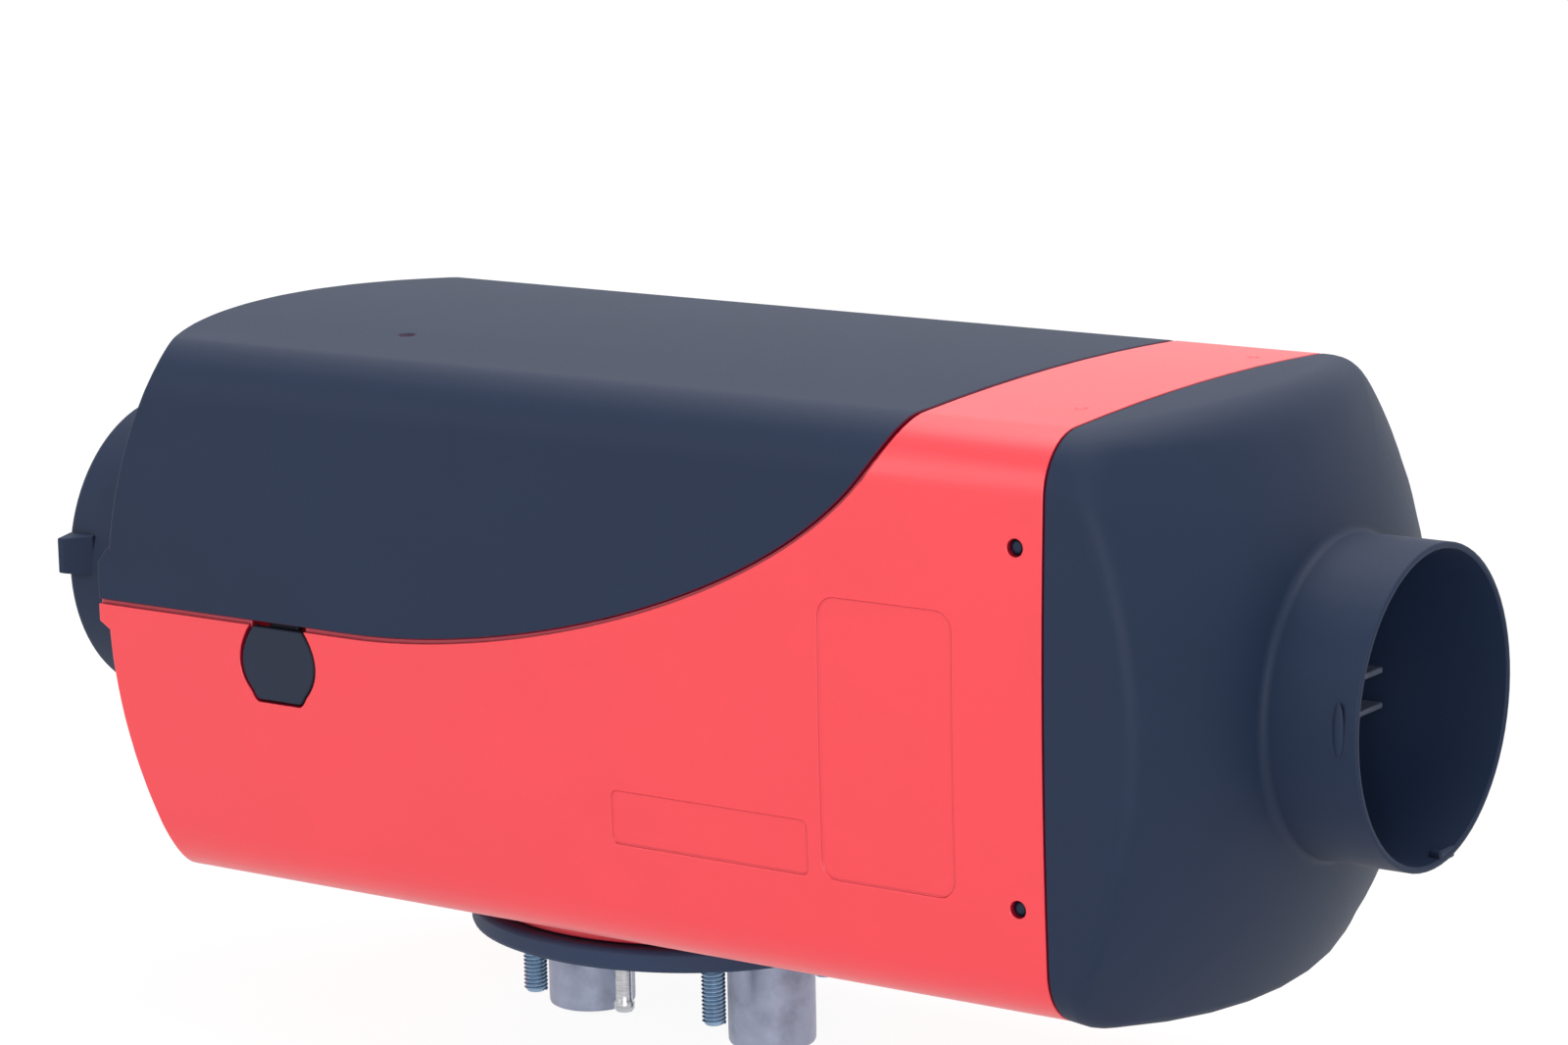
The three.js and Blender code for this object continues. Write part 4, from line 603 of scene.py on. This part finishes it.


# In the gap the strip's red goes over to the painted gap shade, which draws the seam as a dark crimson line.
strip = carve(tube("strip", 1.15, 1.2, BLANK_START, JOINT), inlet_end(), "INTERSECT")
strip = carve(carve(strip, above_seam(-1.5), "INTERSECT"), above_seam(0.5))
for side in (-1, 1):
    low, high = sorted((side * 60, side * 72))
    strip = carve(strip, box("latch gap", LATCH_X - 8.6, LATCH_X + 8.6, low, high, LATCH_LOW, 9))
shell = together("shell_moulding", shell, lip, strip, latch_pocket(-1), latch_pocket(1))
dress(shell, red, "casing", ["lower_shell"], within=HALF)

# %% [markdown]
# The navy cover is the other share of the same casing, so that both stay flush. Its roof has one
# shallow dimple, as a moulding has over its gate.

# %% Upper cover
cover = carve(casing_blank("cover_moulding"), above_seam(0.6), "INTERSECT")
dimple = [(67.3, 0), (67.5, 1.2), (68.6, 2.2), (69.3, 2.7), (80, 3.0), (80, 0)]
cover = carve(cover, turned("dimple", dimple, 32, "Z", (-56, -31.5)))
dress(cover, navy_red_gap_shade, "cover", ["upper_cover"], edge=0.4)

# %% [markdown]
# The two latches are barrel-shaped buttons that close the cover. Each is a plate in its notch, with
# a tongue behind the cover's edge and a pin across its foot. One is modelled and the other is its
# mirror image.

# %% Latches
plate = slab("plate", latch_outline(0.0), "Y", 67.6, 69.75)
pin = turned("pin", [(LATCH_X - 13.2, 0), (LATCH_X - 13.2, 1.1), (LATCH_X + 13.2, 1.1), (LATCH_X + 13.2, 0)],
             24, "X", (66.7, -15.8))
tongue = box("tongue", LATCH_X - 4.5, LATCH_X + 4.5, 65.6, 67.0, -4.8, 5.2)
bridge = box("bridge", LATCH_X - 4.5, LATCH_X + 4.5, 65.6, 68.6, -4.8, -3.4)
rear_latch = together("rear_latch_button", plate, pin, tongue, bridge)
front_latch = mirrored(rear_latch, "front_latch_button")
dress(rear_latch, latch_navy, "rear_latch_body", ["rear_latch"], edge=0.5)
dress(front_latch, latch_navy, "front_latch_body", ["front_latch"], edge=0.5)

# %% [markdown]
# The hoods close both ends. Each is one moulding that starts as the casing's outline, rounds over
# into a shallow sphere and flows through a fillet into a round collar. The loft follows exactly
# that path ring by ring, outside to the rim and back inside, so that the wall is real. The outlet's
# rounding is tight on its flanks and wide at the roof, and its lower edge swells a little.

# %% Hoods
COLLAR, COLLAR_BORE, FILLET = 37.5, 34.8, 2.0
SHROUD_WALL = 2


def hood(name, sign, centre, radius, inset, base, end, roundness, shroud, reach, skirt=None, swell=0.0):
    """A hood on the +X or -X side (sign), from its base to the rim at end.

    Inside, a round wall of the radius shroud runs in to reach. The skirt plugs into the casing.
    """
    outline, collar = section(inset), circle(COLLAR)

    def dome(y, z, r=radius):
        return centre + sign * math.sqrt(r * r - y * y - z * z)

    def ring(points, x_of):
        return [at(x_of(y, z), y, z) for y, z in points]

    rings = [ring(outline, lambda y, z: base)]
    outline = [(y, z - swell * (1 - (y / HALF) ** 2) * min(1, max(0, -50 - z) / 15)) for y, z in outline]
    gaps = [math.dist(a, b) for a, b in zip(outline, collar)]
    sizes = [min(roundness * (0.55 + max(0, z / TOP) ** 3), 0.8 * sign * (dome(y, z) - base)) for y, z in outline]
    inner = between(outline, collar, [size / gap for size, gap in zip(sizes, gaps)])
    for step in range(9):
        t = step / 8
        corners = []
        for (y, z), (iy, iz), size in zip(outline, inner, sizes):
            a = at(dome(y, z) - sign * size, y, z)
            b, c = at(dome(y, z), y, z), at(dome(iy, iz), iy, iz)
            corners.append(a * (1 - t) ** 2 + b * 2 * t * (1 - t) + c * t * t)
        rings.append(corners)
    foot = circle(COLLAR + FILLET)
    for step in range(1, 10):
        rings.append(ring(between(inner, foot, step / 9), dome))
    foot_x, base_x = dome(COLLAR + FILLET, 0), dome(COLLAR, 0) + sign * FILLET
    for step in range(1, 6):
        t = step / 6
        r = (COLLAR + FILLET) * (1 - t) ** 2 + COLLAR * 2 * t * (1 - t) + COLLAR * t * t
        x = foot_x * (1 - t) ** 2 + dome(COLLAR, 0) * 2 * t * (1 - t) + base_x * t * t
        rings.append(ring(circle(r), lambda y, z, x=x: x))
    rings.append(ring(collar, lambda y, z: base_x))
    rings.append(ring(collar, lambda y, z: end))
    rings.append(ring(circle(COLLAR_BORE + 1.2), lambda y, z: end))
    rings.append(ring(circle(COLLAR_BORE + 0.6), lambda y, z: end - sign * 9))

    def lined(y, z):
        return dome(y, z, radius - WALL)

    outer = circle(shroud + SHROUD_WALL)
    rings.append(ring(circle(COLLAR_BORE), lined))
    if shroud != COLLAR_BORE:
        rings.append(ring(circle(shroud), lined))
    rings += [ring(circle(shroud), lambda y, z: reach), ring(outer, lambda y, z: reach), ring(outer, lined)]
    lining = section(inset + 2.2 + (WALL + 0.3 if skirt else 0))
    for share in (0.35, 0.7, 1.0):
        rings.append(ring(between(outer, lining, share), lined))
    if skirt:
        plug = section(inset + WALL + 0.3)
        rings += [ring(lining, lambda y, z: skirt), ring(plug, lambda y, z: skirt), ring(plug, lambda y, z: base)]
    else:
        rings.append(ring(lining, lambda y, z: base))
    return loft(name, rings)


outlet = hood("outlet_moulding", 1, OUTLET_CENTRE, OUTLET_R, 0.0, JOINT + 0.4, 211.5, 5.5,
              shroud=COLLAR_BORE, reach=172.0, skirt=JOINT - 14, swell=2.0)
pegs = []
for side in (-1, 1):
    for z in SNAP_LEVELS:
        peg = turned("peg", [(60, 0), (60, 1.7), (67.9, 1.7), (68.2, 1.4), (68.2, 0)], 32, "Z", (SNAP_X, 0))
        pegs.append(lying(peg, z, -90 * side))
    roof_peg = [(60, 0), (60, 1.7), (65.7, 1.7), (66.0, 1.4), (66.0, 0)]
    pegs.append(turned("peg", roof_peg, 32, "Z", (SNAP_X, SNAP_ROOF_Y * side)))
bumps = []
for side in (-1, 1):
    bm = bmesh.new()
    bmesh.ops.create_uvsphere(bm, u_segments=32, v_segments=20, radius=MM)
    bmesh.ops.scale(bm, vec=(1.4, 0.65, 6.2), verts=bm.verts)
    bmesh.ops.translate(bm, vec=at(207.0, side * (COLLAR - 0.1), 2.2), verts=bm.verts)
    bumps.append(to_object(bm, "bump"))
lug = box("rim lug", 208.2, 211.3, 3.4, 10.4, -36.9, -34.1)
outlet = together("outlet_moulding", outlet, *pegs, *bumps, lug)
dress(outlet, navy, "casing", ["outlet_hood"], edge=0.5)
inlet = hood("inlet_moulding", -1, INLET_CENTRE, INLET_R - 1, WALL + 0.3, -92.0, -163.0, 2.0,
             shroud=43.3, reach=-110.0)
dress(inlet, navy, "casing", ["inlet_hood"], edge=0.4)

# %% [markdown]
# The intake grille is a cup pushed over the inlet collar, with rings and spokes that keep fingers
# from the fan and a tapered tab on each side. The cup and its rings are turned, and the spokes are
# bars set round the axis.

# %% Intake grille
GRILLE_INSIDE, GRILLE_FACE = -163.3, -166.1
cup = turned("cup", [(-143.2, 37.8), (-143.2, 40.0), (-163.9, 40.0), (-165.2, 39.4), (-165.9, 38.6),
                     (GRILLE_FACE, 37.8), (GRILLE_FACE, 34.8), (GRILLE_INSIDE, 34.8), (GRILLE_INSIDE, 37.8),
                     (-143.2, 37.8)], 96)
boss = [(GRILLE_INSIDE, 0), (GRILLE_INSIDE, 6), (-165.6, 6), (GRILLE_FACE, 5.5), (GRILLE_FACE, 0)]
bars = [cup, turned("boss", boss, 48)]
for r in (15.6, 25.2):
    bars.append(turned("ring", [(GRILLE_INSIDE, r - 1), (GRILLE_INSIDE, r + 1), (-165.0, r + 1), (-165.2, r),
                                (-165.0, r - 1), (GRILLE_INSIDE, r - 1)], 72))
for k in range(6):
    bars.append(rolled(box("spoke", -166.0, GRILLE_INSIDE, -1, 1, 3, 35.4), at(0, 0, 0), 60 * (k + 0.5)))
for side in (-1, 1):
    tab_outline = [(38.9 * side, -1.4), (44.1 * side, -0.6), (44.1 * side, 8.6), (38.9 * side, 9.4)]
    tab = slab("tab", tab_outline, "X", -165.0, -154)
    wedge = slab("wedge", [(-166, 30 * side), (-166, 46 * side), (-163.4, 44.4 * side), (-156.5, 39.6 * side),
                           (-156.5, 30 * side)], "Z", -5, 12)
    bars.append(carve(tab, wedge, "INTERSECT"))
grille = together("grille_moulding", *bars)
dress(grille, navy, "casing", ["intake_grille"], edge=0.35)

# %% [markdown]
# Under the casing lies a thick rubber gasket with a rounded rim, which seals the foot against the
# vehicle's floor. It is cut from one oval slab, and the two pipe stubs pass through it.

# %% Flange gasket
STUB_X = 28
gasket = slab("gasket", ellipse(54.3, 48), "Z", GASKET_LOW, -74.3)
for x in (-STUB_X, STUB_X):
    gasket = carve(gasket, upright("stub hole", x, 0, -90, -60, 11.3))
dress(gasket, rubber, "casing", ["flange_gasket"], edge=1.2)

# %% [markdown]
# Four zinc-plated M6 studs stand in the foot and hold the heater down. A stud's thread is one small
# V spun round the axis while it climbs, which is how a helix is made from an outline.

# %% Threaded studs
STUD_X, STUD_Y = 27.5, 24
TURNS, STEPS_PER_TURN = 21, 28


def stud(name, x, y, node):
    bottom, top, pitch = -97.0, -62.0, 1.0
    core = [(bottom, 0), (bottom, 2.1), (bottom + 0.6, 2.55), (top, 2.55), (top, 0)]
    core = turned("core", core, 40, "Z", (x, y))
    bm = bmesh.new()
    ridge = ((2.5, -0.42), (3.0, -0.06), (3.0, 0.06), (2.5, 0.42))
    corners = [bm.verts.new(at(x + r, y, bottom + 0.4 + dz)) for r, dz in ridge]
    edges = [bm.edges.new(pair) for pair in zip(corners, corners[1:])]
    bmesh.ops.spin(bm, geom=corners + edges, cent=at(x, y, 0), axis=(0, 0, 1), angle=2 * math.pi * TURNS,
                   steps=STEPS_PER_TURN * TURNS, dvec=(0, 0, pitch * MM / STEPS_PER_TURN), use_merge=False)
    thread = to_object(bm, "thread")
    dress(together(name, core, thread), zinc, "casing", [node], edge=0, angle=50)


for k, (x, y) in enumerate(((-STUD_X, -STUD_Y), (STUD_X, -STUD_Y), (STUD_X, STUD_Y), (-STUD_X, STUD_Y))):
    stud(f"threaded_stud_{k + 1}", x, y, f"mounting_stud_{k + 1}")

# %% [markdown]
# The heat exchanger is one casting: a domed pot with fins all round, a flange at its open end and
# a foot that goes through the casing's floor. Its fins fill the casing's outline drawn in a
# little, so they are cut from long plates by that form. Three short tips show through the outlet.

# %% Heat exchanger
FINS_START, FINS_END, NOSE_R = -47, 174, 120.6
FIN_PITCH, FIN_HALF, OUTER_UPRIGHT = 7.5, 1.1, 26.25
PLUG_X = -36
SENSOR_PAD = (26, 58, -11, 11)
FLANGE_X = -50


def pot(name, radius, x0, nose, steps=12):
    angles = [math.pi / 2 * k / steps for k in range(steps)]
    arc = [(nose - 22 * (1 - math.sin(a)), radius * math.cos(a)) for a in angles]
    return turned(name, [(x0, 0), (x0, radius)] + arc + [(nose, 0)], 72)


def fin_space():
    ends = [[at(x, y, z) for y, z in section(8.5)] for x in (FINS_START, FINS_END)]
    centre = FINS_END - NOSE_R
    arc = [(centre + math.sqrt(NOSE_R ** 2 - r * r), r) for r in (98 * k / 16 for k in range(16, -1, -1))]
    nose = turned("nose", [(-60, 0), (-60, 98)] + arc, 96)
    return carve(loft("fin space", ends, closed=False), nose, "INTERSECT")


def level_plates(middle, start):
    """Two level plates at this height, from start outwards on both sides."""
    return [box("fin", FINS_START, 180, *sorted((side * start, side * 80)), middle - FIN_HALF, middle + FIN_HALF)
            for side in (-1, 1)]


def plates(name, level):
    parts = []
    for middle in (sign * (k + 0.5) * FIN_PITCH for k in range(4) for sign in (-1, 1)):
        if level:
            parts += level_plates(middle, 37 - abs(middle) / 2)
        else:
            parts.append(box("fin", FINS_START, 180, middle - FIN_HALF, middle + FIN_HALF, -80, 80))
    if level:
        for middle in (sign * (OUTER_UPRIGHT + FIN_PITCH * k) for k in range(1, 4) for sign in (-1, 1)):
            parts += level_plates(middle, OUTER_UPRIGHT)
    return carve(together(name, *parts), fin_space(), "INTERSECT")


upright_fins = plates("upright fins", False)
level_fins = plates("level fins", True)
for fins in (upright_fins, level_fins):
    carve(fins, upright("plug space", PLUG_X, 0, 53, 90, 9))
    carve(fins, box("sensor space", *SENSOR_PAD, 46, 90))
casting = [upright_fins, level_fins]
core = carve(pot("core", 41, FLANGE_X, 158), pot("chamber", 36.5, FLANGE_X - 1, 153.5))
flange = turned("flange", [(FLANGE_X, 36.6), (FLANGE_X, 50), (-43.4, 50), (-43.4, 40.0)], 96)
casting += [core, flange, slab("ledge", ellipse(48, 41.5), "Z", -66.0, -59.0),
            slab("foot", ellipse(44, 37.5), "Z", PLINTH_LOW, -36)]
for x, end in ((-STUB_X, -106.0), (STUB_X, -107.5)):
    stub = [(end, 8.6), (end, 10.2), (end + 0.3, 10.7), (end + 0.9, 10.95), (end + 3.2, 11.0), (-70, 11.0),
            (-70, 8.6), (end, 8.6)]
    casting.append(turned("stub", stub, 72, "Z", (x, 0)))
    casting.append(upright("stub end", x, 0, -78, -77, 8.7))
for k in range(4):
    angle = math.radians(45 + 90 * k)
    casting.append(turned("ear", [(FLANGE_X, 0), (FLANGE_X, 5), (-41.1, 5), (-41.1, 0)], 32, "X",
                          (49.5 * math.cos(angle), 49.5 * math.sin(angle))))
casting.append(carve(upright("boss", PLUG_X, 0, 37, 53, 9), upright("bore", PLUG_X, 0, 30, 60, 5.3)))
casting.append(box("sensor pad", *SENSOR_PAD, 36, 46))
casting.append(turned("air channel", [(FLANGE_X, 4.8), (FLANGE_X, 7), (-30, 7), (-30, 4.8)], 40, "X", (0, -53.5)))
casting += [box("fin tip", 160, 184, 12, 27, -9.0, -7.6), box("fin tip", 160, 184, 12, 27, -0.6, 0.9),
            box("fin tip", 160, 183, 12, 22, 5.4, 6.4)]
exchanger = together("exchanger_casting", *casting)
dress(exchanger, aluminium, "casing", ["heat_exchanger"], edge=0.35, angle=40)

# %% [markdown]
# The fuel tube is thin bent steel. It comes up through the foot, turns towards the intake and ends
# at the burner's flange, and below it has a nipple that holds the hose. A round section drawn along
# its path makes it, as a pipe bender would, and the curve is then taken as a mesh.

# %% Fuel tube
TUBE_X, TUBE_Y, TUBE_END, TURN_Z, TURN_R = -1, -22.5, -98.5, -61, 8
path = [(TUBE_X, TUBE_END), (TUBE_X, TURN_Z)]
path += [(TUBE_X - TURN_R * (1 - math.cos(a)), TURN_Z + TURN_R * math.sin(a))
         for a in (math.pi / 2 * k / 8 for k in range(1, 9))]
path += [(-45.1, -53), (-52.8, -50.0), (-53.1, -45.2)]
line = bpy.data.curves.new("fuel_pipe", "CURVE")
line.dimensions, line.bevel_depth, line.bevel_resolution, line.use_fill_caps = "3D", 2.1 * MM, 6, True
spline = line.splines.new("POLY")
spline.points.add(len(path) - 1)
for point, (x, z) in zip(spline.points, path):
    point.co = (*at(x, TUBE_Y, z), 1)
drawn_pipe = placed("drawn pipe", line)
pipe = placed("pipe", final_mesh(drawn_pipe))
bpy.data.objects.remove(drawn_pipe)
nipple = [(TUBE_END, 1.1), (TUBE_END, 2.0), (-97.9, 2.5), (-96.4, 2.6), (-95.6, 2.1), (-94.4, 2.1), (-94.0, 2.0)]
nipple = turned("nipple", nipple, 40, "Z", (TUBE_X, TUBE_Y))
dress(together("fuel_pipe", pipe, nipple), steel, "casing", ["fuel_tube"], edge=0, angle=40)

# %% [markdown]
# The stage: one white sheet that is floor and backdrop at once, curved up behind. It shows as
# white to the camera except where the heater shades it, so part of its light is its own and the
# rest comes from the lamps. From behind or below the camera sees through it.

# %% Floor and backdrop
FLOOR, CURVE_START, CURVE_R, HALF_LENGTH = -27.8, 1.2, 0.8, 4


def wanted(tree):
    """Light Path, and 1 for a ray that comes from the camera or off a shiny surface."""
    path_of_light = tree.nodes.new("ShaderNodeLightPath")
    either = tree.nodes.new("ShaderNodeMath")
    either.operation = "MAXIMUM"
    tree.links.new(path_of_light.outputs["Is Camera Ray"], either.inputs[0])
    tree.links.new(path_of_light.outputs["Is Glossy Ray"], either.inputs[1])
    return path_of_light, either.outputs["Value"]


def mixed(tree, factor, first, second):
    node = tree.nodes.new("ShaderNodeMixShader")
    tree.links.new(factor, node.inputs["Fac"])
    tree.links.new(first, node.inputs[1])
    tree.links.new(second, node.inputs[2])
    return node.outputs["Shader"]


bm = bmesh.new()
profile = [(-1.5, 0.0), (CURVE_START, 0.0)]
profile += [(CURVE_START + CURVE_R * math.sin(a), CURVE_R * (1 - math.cos(a)))
            for a in (math.pi / 2 * k / 12 for k in range(1, 13))] + [(CURVE_START + CURVE_R, 3.0)]
sheet_verts = [bm.verts.new(Vector((-HALF_LENGTH, d, h + FLOOR * MM))) for d, h in profile]
sheet_edges = [bm.edges.new(pair) for pair in zip(sheet_verts, sheet_verts[1:])]
grown = bmesh.ops.extrude_edge_only(bm, edges=sheet_edges)["geom"]
bmesh.ops.translate(bm, verts=[g for g in grown if isinstance(g, bmesh.types.BMVert)],
                    vec=(2 * HALF_LENGTH, 0, 0))
bmesh.ops.rotate(bm, verts=bm.verts, cent=(0, 0, 0), matrix=Matrix.Rotation(azimuth, 3, "Z"))
paper = to_object(bm, "paper_sweep")
if paper.data.polygons[0].normal.z < 0:
    paper.data.flip_normals()
paper.data.shade_smooth()
white, tree, shader, _ = nodes_of("white paper")
shader.inputs["Base Color"].default_value = (0.8, 0.8, 0.8, 1)
shader.inputs["Roughness"].default_value = 0.9
shader.inputs["Specular IOR Level"].default_value = 0.0
glow = tree.nodes.new("ShaderNodeEmission")
glow.inputs["Color"].default_value = (1, 1, 1, 1)
glow.inputs["Strength"].default_value = 0.93
faint = tree.nodes.new("ShaderNodeBsdfDiffuse")
faint.inputs["Color"].default_value = (0.13, 0.13, 0.13, 1)
lit = tree.nodes.new("ShaderNodeAddShader")
tree.links.new(faint.outputs["BSDF"], lit.inputs[0])
tree.links.new(glow.outputs["Emission"], lit.inputs[1])
light_path, shows = wanted(tree)
sheet_look = mixed(tree, shows, shader.outputs["BSDF"], lit.outputs["Shader"])
facing = tree.nodes.new("ShaderNodeNewGeometry")
outside = tree.nodes.new("ShaderNodeMath")
outside.operation = "MULTIPLY"
tree.links.new(light_path.outputs["Is Camera Ray"], outside.inputs[0])
tree.links.new(facing.outputs["Backfacing"], outside.inputs[1])
clear = tree.nodes.new("ShaderNodeBsdfTransparent")
window = mixed(tree, outside.outputs["Value"], sheet_look, clear.outputs["BSDF"])
tree.links.new(window, tree.nodes["Material Output"].inputs["Surface"])
paper.data.materials.append(white)
print("floor at", FLOOR, "mm")

# %% [markdown]
# The world is plain, even and dimmer on the heater than it looks. Three soft lamps give the rest:
# a large one overhead for the roof, one at the left for the long side, and one near the camera for
# the outlet end.

# %% World and lamps
world = bpy.data.worlds.new("studio")
bpy.context.scene.world = world
world.use_nodes = True
sky = world.node_tree.nodes["Background"]
sky.inputs["Color"].default_value = (1, 1, 1, 1)
strength = world.node_tree.nodes.new("ShaderNodeMapRange")
strength.inputs["To Min"].default_value = 0.36
strength.inputs["To Max"].default_value = 1.0
world.node_tree.links.new(wanted(world.node_tree)[1], strength.inputs["Value"])
world.node_tree.links.new(strength.outputs["Result"], sky.inputs["Strength"])


def lamp(name, place, target, size, watts):
    light = bpy.data.lights.new(name, "AREA")
    light.shape, light.size, light.size_y, light.energy = "RECTANGLE", size[0], size[1], watts
    holder = bpy.data.objects.new(name, light)
    holder.location = place
    holder.rotation_euler = (Vector(target) - Vector(place)).to_track_quat("-Z", "Y").to_euler()
    bpy.context.collection.objects.link(holder)


lamp("top softbox", (0.05, 0.35, 1.7), (0, 0, 0.1), (1.8, 1.4), 22)
lamp("left softbox", (-1.2, -1.9, 0.9), (0, 0, 0.08), (1.4, 1.2), 10)
lamp("front softbox", (1.25, -1.45, 0.4), (0.1, 0, 0.08), (0.9, 0.9), 13)
scene = bpy.context.scene
scene.view_settings.view_transform = "Standard"
